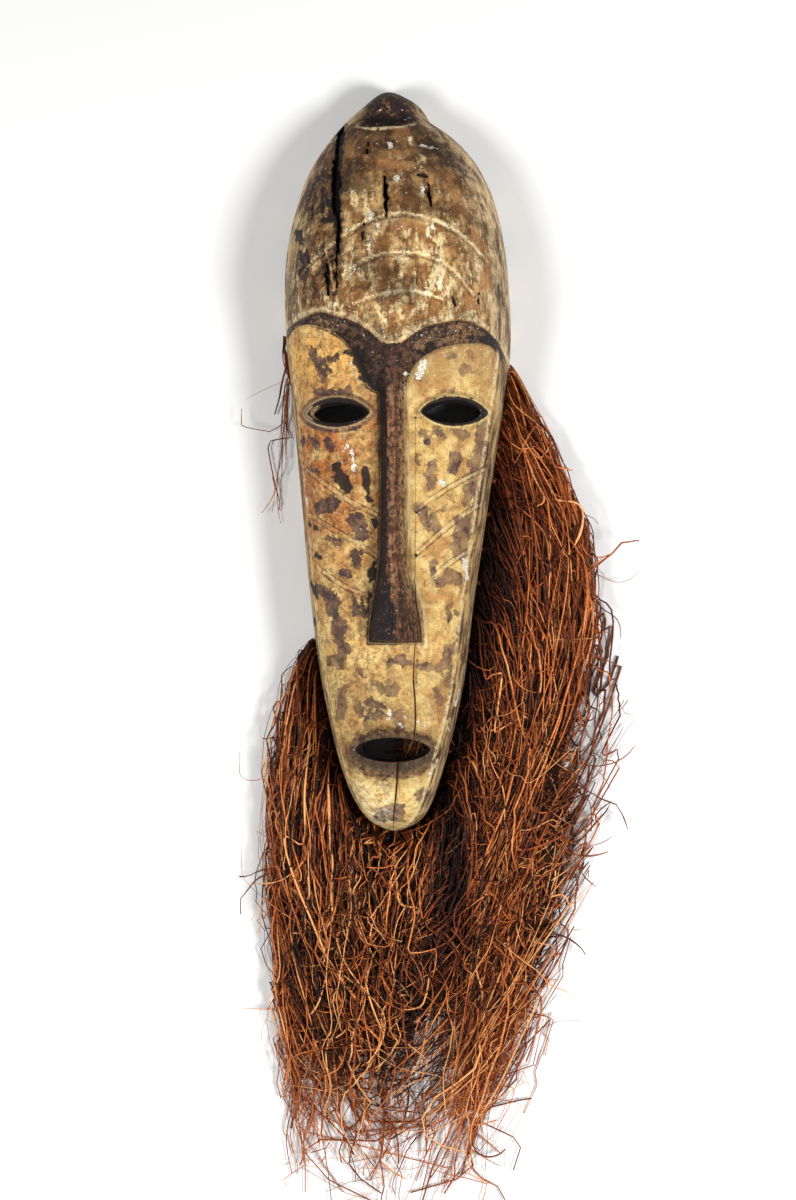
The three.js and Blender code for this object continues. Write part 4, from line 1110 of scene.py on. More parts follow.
def with_lids_and_lips(wood, colour):
    """This colour with the painted lids and the dark lips over it."""
    across, lid, lip, fine_wobble, wobble = wood.across, wood.lid, wood.lip, wood.fine_wobble, wood.wobble
    streaks, grime, left_side = wood.streaks, wood.grime, wood.left_side
    colour = ((lid + fine_wobble * 0.5).within(2.0, 2.6) * (left_side * 0.45 + 0.25)).mix(colour, BLOTCH_DARK)
    colour = (lid + fine_wobble * 0.2).ramp(0.3, -0.3).mix(colour, BROW_DARK)
    pale_lid = left_side.mix(wood.paint("pale_ochre"), wood.paint("flanks"))
    colour = ((lid + fine_wobble * 0.3).within(-0.9, 1.4) * grime.ramp(0.34, 0.5) * 0.9).mix(colour, pale_lid)
    colour = ((lid + fine_wobble * 0.3).ramp(-2.6, -3.6) * 0.85).mix(colour, BLACKENED_AND_SHADE)
    corner = (across + fine_wobble).ramp(-69, -72) * lid.within(-3.2, 1.6) * across.ramp(-85, -80)
    colour = (corner * 0.75).mix(colour, wood.paint("flanks"))
    lips = (lip + wobble * 0.6).ramp(1.6, -2.6)
    lip_colour = (grime * 0.6 + streaks * 0.4).ramp(0.44, 0.56).mix(BROW_DARK, LIP_BROWN)
    lip_colour = (lip.ramp(-3.5, -10.5) * 0.85).mix(lip_colour, BLACKENED_AND_SHADE)
    colour = (lips * 0.93).mix(colour, lip_colour)
    return colour


def with_bead(wood, colour):
    """This colour with the bead round the face and the old wood of the flanks over it, painted shade in the
    bead's groove and a painted highlight beside it, brighter on the right.
    """
    grime, soot = wood.grime, wood.soot
    bead = wood.left_rim.least(wood.right_rim * 0.8) + wood.fine_wobble * 0.12
    on_face = wood.above.ramp(-4, -12)
    edge_wood = wood.streaks.ramp(0.42, 0.58).mix(FLANK_BROWN, wood.paint("flanks"))
    edge_wood = (soot.ramp(0.5, 0.58) * 0.8).mix(edge_wood, BLACKENED_AND_SHADE)
    colour = (bead.ramp(5.4, 4.2) * on_face * 0.9).mix(colour, edge_wood)
    # Painted shade in the bead's groove
    colour = (bead.within(5.9, 1.2) * on_face * soot.ramp(0.62, 0.4)).mix(colour, BLACKENED_AND_SHADE)
    # Painted highlight beside the bead, brighter on the right
    highlight_beside_bead = bead.within(8.0, 2.0) * on_face * grime.ramp(0.42, 0.54)
    colour = (highlight_beside_bead * (0.8 - wood.left_side * 0.4)).mix(colour, PALE_FILL_AND_HIGHLIGHT)
    return colour


def with_wear(wood, colour):
    """This colour with chipped paint and painted highlights, black patches, the plug, nail holes, the seam
    and splits over it.
    """
    place, along, above, split, fine_wobble = wood.place, wood.along, wood.above, wood.split, wood.fine_wobble
    wobble, specks, grime, on_front, chips_and_highlights = wood.wobble, wood.specks, wood.grime, wood.on_front, wood.chips_and_highlights
    # Chipped paint and painted highlights
    colour = (chips_and_highlights * on_front * 0.85).mix(colour, CHALK)
    # Painted highlight: a pale line along the ledge's crest
    ledge = (wood.mark("ledge") + fine_wobble * 0.5).ramp(1.6, -0.8) * grime.ramp(0.36, 0.5)
    colour = (ledge * 0.9).mix(colour, PALE_FILL_AND_HIGHLIGHT)
    plug = (wood.mark("plug") + wobble * 0.4 + fine_wobble * 0.4).ramp(0.5, -0.5)
    colour = (plug * 0.75).mix(colour, grime.ramp(0.46, 0.58).mix(FLANK_BROWN, wood.paint("cream")))
    white_specks = place.noise(2.4, 2, 0.4, shift=113).ramp(0.71, 0.74) * above.ramp(-60, 10, 0.3, 0.9)
    colour = (white_specks * 0.9).mix(colour, CHALK)
    colour = ((wood.mark("black") + wobble * 0.75).ramp(1.2, -0.5) * on_front * 0.95).mix(colour, BLACKENED_AND_SHADE)
    colour = (wood.mark("nail") + fine_wobble * 0.15).ramp(0.3, -0.3).mix(colour, INK_AND_SHADE)
    seam_half = wood.mark("seam_half")
    seam = abs(wood.mark("seam")) - seam_half * (specks * 0.9 + 0.25)
    seam_colour = along.ramp(-480, -492).mix(INK_AND_SHADE, BROW_RED)
    hairline = seam_half.ramp(0, 0.15) * along.ramp(-400, -440, 0.55, 0.9)
    colour = (seam.ramp(0.3, -0.05) * hairline).mix(colour, seam_colour)
    colour = (seam.ramp(-0.02, -0.25) * seam_half.ramp(0.5, 0.8)).mix(colour, INK_AND_SHADE)
    colour = ((split + specks * 1.2 + fine_wobble * 0.35).ramp(1.2, 0.2) * 0.97).mix(colour, INK_AND_SHADE)
    return colour


def inside_paint(wood):
    """Bare wood at the openings' edges, dark old wood further in that is darkened as painted shade of the
    hollow, black painted shade on the walls of the eyes and the mouth, and painted light in the left eye's
    outer corner.
    """
    across, lid, lip, depth, fine_wobble = wood.across, wood.lid, wood.lip, wood.depth, wood.fine_wobble
    streaks, grime = wood.streaks, wood.grime
    # Old wood, darker further in as painted shade of the hollow
    inner = depth.ramp(2, 9).mix(wood.paint("raw_wood"), INSIDE_WOOD_AND_SHADE)
    inner = (streaks.ramp(0.4, 0.65) * 0.6).mix(inner, FOREHEAD_DARK)
    # Painted shade: black on the walls of the eyes and the mouth
    inner = (lip.least(lid).ramp(4, -4) * depth.ramp(0.2, 2)).mix(inner, BLACKENED_AND_SHADE)
    # Painted light on the inner wall of the left eye's outer corner
    lit_corner = (across + fine_wobble).ramp(-63, -67) * lid.ramp(0.5, -0.5) * depth.ramp(16, 8)
    inner = (lit_corner * 0.85).mix(inner, grime.ramp(0.4, 0.56).mix(STAIN, wood.paint("flanks")))
    return inner


def wood_material(settings):
    """Painted, worn wood: ochre face, dark brows and nose, brown forehead, dark old wood inside, with painted
    shade and painted highlights in its colour.
    """
    material, base = new_material("painted_wood")
    wood = Wood(settings, base)
    colour = (wood.above + wood.fine_wobble * 0.3).ramp(-0.6, 0.8).mix(face_paint(wood), forehead_paint(wood))
    for layer in (with_ridge, with_lids_and_lips, with_bead, with_wear):
        colour = layer(wood, colour)
    painted = wood.mark("outer").ramp(0.9, 0.98)
    colour = painted.mix(inside_paint(wood), colour)

    rough = 0.48 + wood.grime * 0.35 - wood.in_ridge * 0.06 + (1 - painted) * 0.15
    height = wood.grain * 0.2 + wood.grime * 0.6 + wood.specks * 0.3 + wood.mottle * 0.5 - wood.blotch * 0.2
    height = height + wood.streaks * 0.3 - wood.chips_and_highlights * 0.3
    bump = base.node("ShaderNodeBump", {}, {
        "Strength": 0.95, "Distance": settings.texture_depth, "Height": height,
    })
    shader = base.node("ShaderNodeBsdfPrincipled", {}, {
        "Base Color": colour, "Roughness": rough, "Normal": bump, "Specular IOR Level": 0.22,
    })
    finish_material(base, shader)
    return material


def raffia_material(settings):
    """Dry raffia, orange brown, each strand in its own tone, which also carries painted shade: near black at
    the roots and low in the bunches.
    """
    material, base = new_material("raffia")
    place = base.node("ShaderNodeTexCoord", output="Object")
    tone = base.node("ShaderNodeAttribute", {"attribute_name": "tone"}, output="Fac")
    stops = [(0.0, linear(20, 8, 4)), (0.25, linear(62, 26, 12)), (0.5, (*settings.colour, 1.0)),
             (0.75, (*settings.lit_colour, 1.0)), (1.0, linear(240, 172, 108))]
    shifted = tone + (place.noise(14, 4, shift=3) - 0.5) * 0.4 + (place.noise(1.6, 3, shift=9) - 0.5) * 0.6
    colour = base.node("ShaderNodeValToRGB", {"stops": stops}, {0: shifted})
    rough = 0.42 + place.noise(3, 3) * 0.25
    height = place.noise(0.7, 3, stretch=(1, 0.2, 1))
    bump = base.node("ShaderNodeBump", {}, {"Strength": 0.4, "Distance": 0.0003, "Height": height})
    shader = base.node("ShaderNodeBsdfPrincipled", {}, {
        "Base Color": colour, "Roughness": rough, "Normal": bump, "Specular IOR Level": 0.2,
    })
    finish_material(base, shader)
    return material


def floor_material(colour):
    material, base = new_material("pale_floor")
    shader = base.node("ShaderNodeBsdfPrincipled", {}, {
        "Base Color": (*colour, 1.0), "Roughness": 0.9, "Specular IOR Level": 0.1,
    })
    finish_material(base, shader)
    return material


# Strands


def kinked(rng, t, kinks, rounding=2):
    """Wander of strands over their shares of the way down: straight runs between kinks, some rounded."""
    total = np.zeros(t.shape)
    for i, at in enumerate(t):
        knots = np.sort(rng.uniform(0, 1.05, kinks))
        total[i] = np.interp(at, knots, rng.normal(0, 1, kinks))
        for _ in range(rng.integers(0, rounding + 1)):
            total[i, 1:-1] = total[i, :-2] / 4 + total[i, 1:-1] / 2 + total[i, 2:] / 4
    return total


TUBE_SIDES, MOST_TWIST = 3, 9
TAPER_AT, TAPER = [0, 0.04, 0.8, 1], [0.6, 1, 0.95, 0.62]


def tubes(paths, radius, flatness, turn):
    """Closed three-sided tubes along paths (strand, point, xyz), as vertices and faces."""
    count, points, _ = paths.shape
    way = np.gradient(paths, axis=1)
    way /= np.linalg.norm(way, axis=-1, keepdims=True) + 1e-9
    side = np.cross(way, UP)
    side /= np.linalg.norm(side, axis=-1, keepdims=True) + 1e-6
    over = np.cross(side, way)
    along = np.linspace(0, 1, points)
    taper = np.interp(along, TAPER_AT, TAPER)
    angle = turn[:, None, None] + np.arange(TUBE_SIDES) * 2 * np.pi / TUBE_SIDES
    wide = (radius[:, None] * taper)[..., None, None]
    flat = flatness[:, None, None, None]
    twist = turn[:, None] * 3 + along * MOST_TWIST * np.sin(turn * 7)[:, None]
    twist = twist[..., None, None]
    across = side[:, :, None] * np.cos(twist) + over[:, :, None] * np.sin(twist)
    upward = over[:, :, None] * np.cos(twist) - side[:, :, None] * np.sin(twist)
    ring = wide * (np.cos(angle)[..., None] * across + flat * np.sin(angle)[..., None] * upward)
    vertices = (paths[:, :, None] + ring).reshape(-1, 3)
    index = np.arange(count * points * TUBE_SIDES).reshape(count, points, TUBE_SIDES)
    nxt = np.roll(index, -1, axis=2)
    quads = np.stack([index[:, :-1], nxt[:, :-1], nxt[:, 1:], index[:, 1:]], -1).reshape(-1, 4)
    none = np.full(count, -1)
    first = np.stack([index[:, 0, 2], index[:, 0, 1], index[:, 0, 0], none], -1)
    last = np.stack([index[:, -1, 0], index[:, -1, 1], index[:, -1, 2], none], -1)
    return vertices, np.concatenate([quads, first, last])


# How near the sides of the fringe strands keep, the fringe's breadth lower down and along the back edge,
# and how far down a strand may end
EDGE_SHARE, BREADTH, EDGE_LENGTH, FURTHEST = 0.03, 290.0, 650.0, 1.04
# How far down strands end, by how many of them are shorter: of the right side, the chin and the left side
LONG_ENDS = curve_through([
    (0, 0.28), (0.3, 0.46), (0.58, 0.57), (0.76, 0.67), (0.86, 0.79), (0.94, 0.92), (1, 1.04),
])
CHIN_ENDS = curve_through([
    (0, 0.22), (0.3, 0.42), (0.55, 0.54), (0.74, 0.65), (0.86, 0.78), (0.94, 0.91), (1, 1.04),
])
LEFT_ENDS = curve_through([(0, 0.4), (0.38, 0.62), (0.62, 0.73), (0.82, 0.82), (0.93, 0.92), (1, 1.03)])
# Strands that leave the right side above this share of the edge are mostly drawn in towards the mask:
# how many of them, the shares that they end at, and how far down they begin to turn
LOOSE_UP_TO, DRAWN_IN, DRAWN_TO, DRAWN_FROM = 0.36, 0.95, (0.33, 0.55), (0.03, 0.22)
# How much each strand wanders by itself, and the parts of all strands that do so
CALM, CALM_PARTS = [0.6, 1.2, 2.3], [0.32, 0.47, 0.21]
# The parting between the beard and the raffia of the right side: where it is, how far on both sides it
# pushes strands, by how much, and half the width of the painted shade along it
PARTED_AT, PARTED_REACH, PARTED_BY, PARTED_SHADE = 0.605, 0.12, 0.095, 0.036


def with_gap(share, t, strength):
    """The parting between the beard and the raffia of the right side opens on the way down."""
    off = share - PARTED_AT
    return share + strength * PARTED_BY * t * np.tanh(off / 0.02) * np.exp(-((off / PARTED_REACH) ** 2))


def drawn_in(rng, share, shares, t):
    """Shares across of strands, with most of those from high on the right side drawn in on the way down."""
    count = len(shares)
    inward = np.where(rng.uniform(0, 1, count) < DRAWN_IN, rng.uniform(0.78, 1, count), 0)
    inward = (inward * smooth((LOOSE_UP_TO - shares) / 0.08))[:, None]
    target, begin = rng.uniform(*DRAWN_TO, count)[:, None], rng.uniform(*DRAWN_FROM, count)[:, None]
    return share + inward * (target - share) * smooth((t - begin) / 0.27)


def wandered(rng, roots, shares, t, layer, lock, stray, kind, wander):
    """Shares across and down of tangled strands: each one's own wander, and that of its lock."""
    count, kinks = len(shares), kind.kinks
    share = roots[:, None] + (shares - roots)[:, None] * smooth(t / 0.12)
    share = drawn_in(rng, share, shares, t) + rng.normal(0, 0.035, count)[:, None] * t
    opening = np.maximum(smooth((layer[:, None] - 0.32) / 0.2), smooth((t - 0.55) / 0.2))
    share = with_gap(share, t, opening)
    calm = rng.choice(CALM, count, p=CALM_PARTS)[:, None]
    loose = smooth((t / t[:, -1:] - 0.7) / 0.3)
    grown = smooth(t / 0.06) * (0.7 + 0.4 * t + 0.9 * loose)
    grid = np.linspace(0, 1, 40)
    of_lock = kinked(rng, np.tile(grid, (lock.max() + 1, 1)), max(3, kinks // 3))
    together = np.stack([np.interp(row, grid, of_lock[k]) for row, k in zip(t, lock)])
    breadth = EDGE_LENGTH + (BREADTH - EDGE_LENGTH) * smooth(t / 0.5)
    own = kinked(rng, t, kinks) * calm + 0.3 * kinked(rng, t, 2 * kinks, 1)
    share = share + wander / breadth * grown * (own + 0.8 * together)
    edge = np.where(stray, -rng.gamma(2, 0.02, count), EDGE_SHARE * rng.uniform(0.1, 2.2, count))[:, None]
    low, high = edge * smooth(t / 0.3), 1 - edge * smooth(t / 0.2)
    share = high - np.abs(high - (low + np.abs(share - low)))
    down = wander * 0.5 / kind.length * grown * kinked(rng, t, kinks) * calm
    return share, np.clip(t + down, 0, FURTHEST)


def strand_paths(rng, route, start, share, t, layer, lift):
    """Paths of strands that run down a route from their own starts, (strand, point, xyz)."""
    flat = route(share, t)
    from_start = smooth(t / 0.012)
    flat = start[:, None, :2] * (1 - from_start[..., None]) + flat * from_start[..., None]
    level = np.clip(layer[:, None] ** 0.8 + 0.22 * kinked(rng, t, 8), 0.02, 1.3)
    z = 1.4 + bunch_height(np.minimum(t, 1)) * lift * level
    z = start[:, 2:] * (1 - from_start) + z * from_start
    return np.concatenate([flat, z[..., None]], -1)


def hole_starts(rng, hole, count):
    """Where strands come out of a hole."""
    place, out = hole
    flat = place + out * 0.5 + rng.normal(0, 1.5, (count, 2))
    return np.c_[flat, HOLE_HEIGHT + rng.normal(0, 1.2, count)]


def wall_starts(rng, hole, roots):
    """Where a bunch's strands leave the wall: packed from its hole to half way to the next."""
    from_hole = hole_starts(rng, hole, len(roots))
    flat = edge_place(roots) + edge_outward(roots) * 0.5
    spread = rng.uniform(0.4, 1, len(roots))[:, None]
    return from_hole + spread * (np.c_[flat, rng.uniform(2.5, 15, len(roots))] - from_hole)


# What the dressed part may stand proud by, a little under the limit: a share of each side, and metres more
LIMIT_SHARE, LIMIT_EXTRA = 0.028, 0.009


def kept_in_box(paths):
    """Paths in millimetres held inside what the dressed part may stand proud of the solids."""
    low, high = np.array(CAD_BOX) / MM
    extra = (high - low) * LIMIT_SHARE + LIMIT_EXTRA / MM
    past = paths[..., 0] - high[0]
    paths[..., 0] = np.where(past > 0, high[0] + extra[0] * np.tanh(past / extra[0]), paths[..., 0])
    return np.clip(paths, low - extra, high + extra)


# Distance outwards from the back edge, and radius, of a knot's rings and its neck's
KNOT_AT = -WALL - 4.5
KNOT_STEPS = [
    (KNOT_AT - 7, 1.6), (KNOT_AT - 6, 3.2), (KNOT_AT - 4, 4.0), (KNOT_AT - 2, 3.8), (KNOT_AT, 2.6),
    (KNOT_AT + 3, 2.3), (-4, 2.3), (1, 2.5), (3.5, 2.9),
]


def knot_rings(hole, rng):
    """A lumpy knot inside the wall, with the neck that goes out through the hole."""
    place, out = hole
    circle = ring_across(out, KNOT_SIDES)
    rings = []
    for at, radius in KNOT_STEPS:
        lumps = radius * (1 + 0.12 * rng.normal(0, 1, KNOT_SIDES))
        rings.append(np.array([*(place + out * at), HOLE_HEIGHT]) + lumps[:, None] * circle)
    return np.stack(rings)


# The loose ends inside the hollow, which show through the mouth: how many from a knot, and their half
# width, tone, length and aim
TAILS, TAIL_POINTS, TAIL_WIDTH, TAIL_TONE, TAIL_LENGTH = 9, 20, 0.85, 0.9, 95
TAIL_AIM, TAIL_SPREAD = np.array([MOUTH[0] + 12, MOUTH[1] - 4, 24.0]), np.array([14, 8, 9])


def tails(rng, hole):
    """Loose ends inside the hollow, from a knot towards the mouth, as one more group of strands."""
    place, out = hole
    u = np.linspace(0, 1, TAIL_POINTS)[None, :, None]
    start = np.array([*(place - out * (WALL + 9)), HOLE_HEIGHT])
    way = TAIL_AIM + rng.normal(0, 1, (TAILS, 3)) * TAIL_SPREAD - start
    reach = TAIL_LENGTH / (np.linalg.norm(way, axis=1) + 1e-6)
    end = start + way * np.minimum(reach, 1)[:, None]
    middle = (start + end) / 2 + rng.normal(0, 7, (TAILS, 3)) + 6 * UP
    path = start * (1 - u) ** 2 + 2 * middle[:, None] * u * (1 - u) + end[:, None] * u * u
    path[..., 2] = np.maximum(path[..., 2], 3)
    width = np.full(TAILS, TAIL_WIDTH)
    return path, np.full((TAILS, TAIL_POINTS), TAIL_TONE), width, width


SPLIT_END_POINTS = 13


def split_ends(rng, paths, tones, radius, layer, count):
    """Short curled ends that stand off the upper strands of a bunch, as one more group of strands."""
    points = paths.shape[1]
    whose = rng.choice(np.flatnonzero(layer > 0.45), count)
    at = (rng.uniform(0.2, 0.97, count) * (points - 2)).astype(int)
    start, way = paths[whose, at], paths[whose, at + 1] - paths[whose, at]
    s = np.linspace(0, 1, SPLIT_END_POINTS)
    length = np.clip(rng.gamma(3.5, 13, count), 14, 95)[:, None]
    bend, lean = rng.normal(0, 1.3, count)[:, None], rng.normal(0, 0.45, count)[:, None]
    heading = np.arctan2(way[:, 1], way[:, 0])[:, None] + lean + bend * s
    heading = heading + 0.35 * kinked(rng, np.tile(s, (count, 1)), 5, 1)
    step = length / (SPLIT_END_POINTS - 1)
    plan = np.cumsum(np.stack([np.cos(heading), np.sin(heading)], -1) * step[..., None], axis=1)
    plan = start[:, None, :2] + plan - plan[:, :1]
    z = start[:, 2:] + rng.uniform(-3, 9, count)[:, None] * np.sin(s * np.pi * 0.8)
    tone = np.clip(tones[whose, at][:, None] * 0.6 + rng.uniform(0.05, 0.5, count)[:, None] + 0 * s, 0, 1)
    flatness = rng.uniform(0.5, 1, count)
    path = np.concatenate([plan, z[..., None]], -1)
    return path, tone, radius[whose] * rng.uniform(0.6, 1, count), flatness


def raffia_piece(name, rng, hole, groups, material):
    """One bunch: its groups of strands, its knot and neck, with the tone of each strand's points."""
    knot, knot_faces = lofts([knot_rings(hole, rng)])
    vertices, faces, tone = [knot], [knot_faces], [np.full(len(knot), 0.3)]
    for paths, tones, radius, flatness in groups:
        paths[..., 2] = np.maximum(paths[..., 2], radius[:, None] * 1.05)
        turn = rng.uniform(0, 2 * np.pi, len(paths))
        places, sides = tubes(kept_in_box(paths), radius, flatness, turn)
        faces.append(np.where(sides >= 0, sides + sum(map(len, vertices)), -1))
        vertices.append(places * MM)
        tone.append(np.repeat(tones.reshape(-1), TUBE_SIDES))
    piece = mesh_piece(name + "_strands", np.concatenate(vertices), np.concatenate(faces), material)
    add_attribute(piece.data, "tone", np.concatenate(tone))
    return piece


def strand_looks(rng, layer, stray, thickness):
    """Half widths, flatness and tones of some strands: broader low down in the bunch and near black there as
    painted shade, the top ones lighter as painted light, and about a third of the others dark.
    """
    count = len(layer)
    under = (layer < 0.6) & ~stray
    radius = rng.gamma(3, thickness / 3, count)
    ribbon = rng.uniform(0, 1, count) < 0.08
    radius = np.clip(np.where(ribbon, radius * 1.9, radius) * np.where(under, 1.2, 1), 0.22, 1.5)
    flatness = np.where(ribbon, 0.22, rng.uniform(0.5, 1, count))
    # Painted light: strands higher in the bunch lighter
    lit = 0.3 + rng.beta(0.9, 1.2, count) * 0.7 + 0.25 * np.maximum(layer - 0.5, 0)
    lit = np.where(rng.uniform(0, 1, count) < 0.32, rng.uniform(0.0, 0.2, count), lit)
    # Painted shade: strands low in the bunch near black
    tones = np.where(under, rng.uniform(0, 0.12, count), lit)
    return radius * np.where(stray, 0.8, 1), flatness, np.clip(tones, 0, 1)


def strand_tones(rng, tones, share, t, amount, fade):
    """Tones along each strand: uneven and lighter lower down, with painted shade where it leaves the edge and
    in the parting; dark strands are lifted at the fringe's sides and low down.
    """
    uneven = tones[:, None] + 0.12 * kinked(rng, t, 12) + 0.2 * smooth((t - 0.5) / 0.4)
    # Dark strands lifted at the fringe's sides and low down, where less painted shade is laid
    at_rim = np.maximum(smooth((0.24 - share) / 0.1), 0.7 * smooth((share - 0.92) / 0.05))
    uneven += np.maximum(0.4 - tones[:, None], 0) * np.maximum(at_rim, smooth((t - 0.62) / 0.3))
    # Painted shade in the parting and where strands leave the edge
    parted = np.exp(-(((share - PARTED_AT) / PARTED_SHADE) ** 2)) * smooth((0.66 - t) / 0.25)
    return np.clip(uneven, 0, 1) * (1 - amount * np.exp(-((t / fade) ** 2))) * (1 - 0.85 * parted)


# Bunches, counted from 0 at the right brow, down, round the chin and up the left side

# Points along a strand, how far it wanders and how much less on the chin, its length, its kinks, and how
# light it is
StrandKind = namedtuple("StrandKind", "points wander chin_less length kinks light")
LONG_KIND = StrandKind(points=58, wander=17, chin_less=12, length=700, kinks=19, light=0.92)
SHORT_KIND = StrandKind(points=40, wander=10, chin_less=5, length=380, kinks=11, light=1)
# The first bunches of the short kind, on the left side, and with loose ends inside the hollow, and the
# last ones with them
SHORT_KIND_FROM, LEFT_FROM, TAILS_FROM, TAILS_TO = 11, 15, 11, 14
# The bunches between which strands are the chin's, and over how many they become so and cease to be
CHIN_FROM, CHIN_TO, CHIN_RISE, CHIN_FALL = 11, 17, 2, 3
# The parts of the strands that the highest bunches on the right have
THIN_BUNCHES = (0.7, 0.9)
# How many strands stray beyond the fringe, in the bunches before this one and in the rest
LOOSER_TO, LOOSER_STRAY, USUAL_STRAY = 4, 0.25, 0.12
# The bunches before this one are shorter by this share
SHORTER_TO, SHORTER_BY = 8, 0.06
# How many split ends bunches have, up to a bunch: most high on the right side, fewest on the left
SPLIT_END_COUNTS = [(6, 44), (17, 30), (BUNCHES, 16)]
# How dark the painted shade makes strands where they leave the edge, and how much less so on the chin
RIGHT_EDGE_SHADE, LEFT_EDGE_SHADE = (0.86, 0.74), (0.5, 0.38)
LOCKS = 7


def bunch_strands(rng, i, hole, settings):
    """The groups of strands of the bunch with this number."""
    chin = float(smooth((i - CHIN_FROM) / CHIN_RISE) * smooth((CHIN_TO - i) / CHIN_FALL))
    kind = LONG_KIND if i < SHORT_KIND_FROM else SHORT_KIND
    left = i >= LEFT_FROM
    count = int(settings.strands * THIN_BUNCHES[i] if i < len(THIN_BUNCHES) else settings.strands)
    locks = (i + rng.uniform(-0.3, 1.3, LOCKS)) / BUNCHES
    lock = rng.integers(0, LOCKS, count)
    shares = np.clip(locks[lock] + rng.normal(0, 0.008, count), 0.004, 0.99)
    roots = np.clip((i + rng.uniform(-0.1, 1.1, count)) / BUNCHES, 0.001, 0.999)
    shares += (roots - shares) * 0.6 * chin
    layer = rng.uniform(0, 1, count)
    stray = rng.uniform(0, 1, count) < (LOOSER_STRAY if i < LOOSER_TO else USUAL_STRAY)

    drawn = rng.uniform(0, 1, count)
    reach = (LEFT_ENDS if left else LONG_ENDS)(drawn) * (1 - chin) + CHIN_ENDS(drawn) * chin
    uneven = 1.01 - SHORTER_BY * (i < SHORTER_TO) + 0.04 * math.sin(2.4 * i + 0.6)
    reach *= uneven * (1 + rng.normal(0, 0.04, LOCKS)[lock])
    reach = np.clip(reach * (0.9 + 0.1 * smooth(layer / 0.4)), 0.15, FURTHEST)
    t = np.linspace(0, 1, kind.points) ** 1.12 * reach[:, None]
    wander = kind.wander - kind.chin_less * chin
    share, t = wandered(rng, roots, shares, t, layer, lock, stray, kind, wander)
    start = wall_starts(rng, hole, roots)
    paths = strand_paths(rng, parting, start, share, t, layer, 1 + 0.4 * chin)

    radius, flatness, tones = strand_looks(rng, layer, stray, settings.thickness / MM)
    # Painted shade: strands darker where they leave the edge, less so on the chin and in the first bunches
    shade_at_edge, less_on_chin = LEFT_EDGE_SHADE if left else RIGHT_EDGE_SHADE
    dark = (shade_at_edge - less_on_chin * chin) * float(smooth((i - 0.5) / 4))
    tones = strand_tones(rng, tones * kind.light, share, t, dark, 0.085 - 0.045 * chin)
    ends = next(ends for up_to, ends in SPLIT_END_COUNTS if i < up_to)
    groups = [(paths, tones, radius, flatness), split_ends(rng, paths, tones, radius, layer, ends)]
    if TAILS_FROM <= i <= TAILS_TO:
        groups.append(tails(rng, hole))
    return groups


WISP_INWARD, WISP_POINTS, WISP_THINNER, WISP_SPLIT_ENDS = 14.0, 36, 0.65, 9


def wisp_strands(rng, hole, settings):
    """The groups of strands of the thin wisp that hangs from high on the left side."""
    count = settings.wisp_strands
    reach = 0.55 + 0.45 * rng.uniform(0, 1, count) ** 0.6
    shares = rng.uniform(-0.3, 1.3, count)
    layer = rng.uniform(0, 1, count)
    t = np.linspace(0, 1, WISP_POINTS) * reach[:, None]
    share = shares[:, None] * smooth(t / 0.3) + 0.9 * smooth(t / 0.2) * kinked(rng, t, 10)
    paths = strand_paths(rng, wisp_parting, hole_starts(rng, hole, count), share, t, layer, 0.8)
    paths[..., 0] += WISP_INWARD * smooth(t / 0.35) * (1.1 - 0.5 * t)
    no_stray = np.zeros(count, bool)
    radius, flatness, tones = strand_looks(rng, layer, no_stray, settings.thickness / MM * WISP_THINNER)
    # Painted shade: the wisp's strands darker where they leave the hole, and the wisp darker overall
    tones = strand_tones(rng, tones * 0.6, share * 0, t, 0.5, 0.1)
    return [
        (paths, tones, radius, flatness),
        split_ends(rng, paths, tones, radius, layer + 0.5, WISP_SPLIT_ENDS),
    ]


# Settings, operators and panel


def colour_property(name, description, value):
    return FloatVectorProperty(
        name=name, description=description, default=value[:3], subtype="COLOR", size=3, min=0, max=1)


class MaskWoodSettings(bpy.types.PropertyGroup):
    ochre: colour_property("Face", "Ochre of the painted face", linear(206, 167, 100))
    pale_ochre: colour_property("Pale face", "Paler patches of the face and the chin", linear(228, 200, 132))
    orange: colour_property("Orange", "Orange of the left cheek", linear(178, 110, 56))
    blotches: colour_property("Blotches", "Brown blotches on the face", linear(124, 92, 72))
    brows: colour_property("Brows", "Brown of the brows", linear(92, 70, 52))
    nose: colour_property("Nose", "Brown of the nose", linear(122, 80, 54))
    forehead: colour_property("Forehead", "Tan of the forehead", linear(186, 150, 98))
    crown: colour_property("Crown", "Brown towards the crown", linear(122, 84, 46))
    flanks: colour_property("Flanks", "Old wood of the flanks", linear(186, 158, 116))
    cream: colour_property("Cream paint", "Cream drips and patches", linear(220, 196, 138))
    raw_wood: colour_property("Raw wood", "Raw wood at the openings", linear(150, 118, 80))
    texture_depth: FloatProperty(
        name="Texture depth", description="Depth of the wood's fine texture",
        default=0.0022, unit="LENGTH", precision=4)
    sharp_angle: FloatProperty(
        name="Sharp edge", description="Edges steeper than this are shaded as sharp",
        default=math.radians(48), subtype="ANGLE")


class MaskRaffiaSettings(bpy.types.PropertyGroup):
    colour: colour_property("Raffia", "Middle brown of the strands", linear(126, 60, 26))
    lit_colour: colour_property("Lit raffia", "Orange brown of the palest strands", linear(198, 108, 52))
    strands: IntProperty(name="Strands", description="Strands in each bunch of raffia", default=110, min=10)
    wisp_strands: IntProperty(
        name="Wisp strands", description="Strands in the thin wisp on the left", default=11, min=3)
    thickness: FloatProperty(
        name="Thickness", description="Usual half width of a strand",
        default=0.00074, unit="LENGTH", precision=5)
    seed: IntProperty(name="Seed", description="Start of the random draws", default=7)


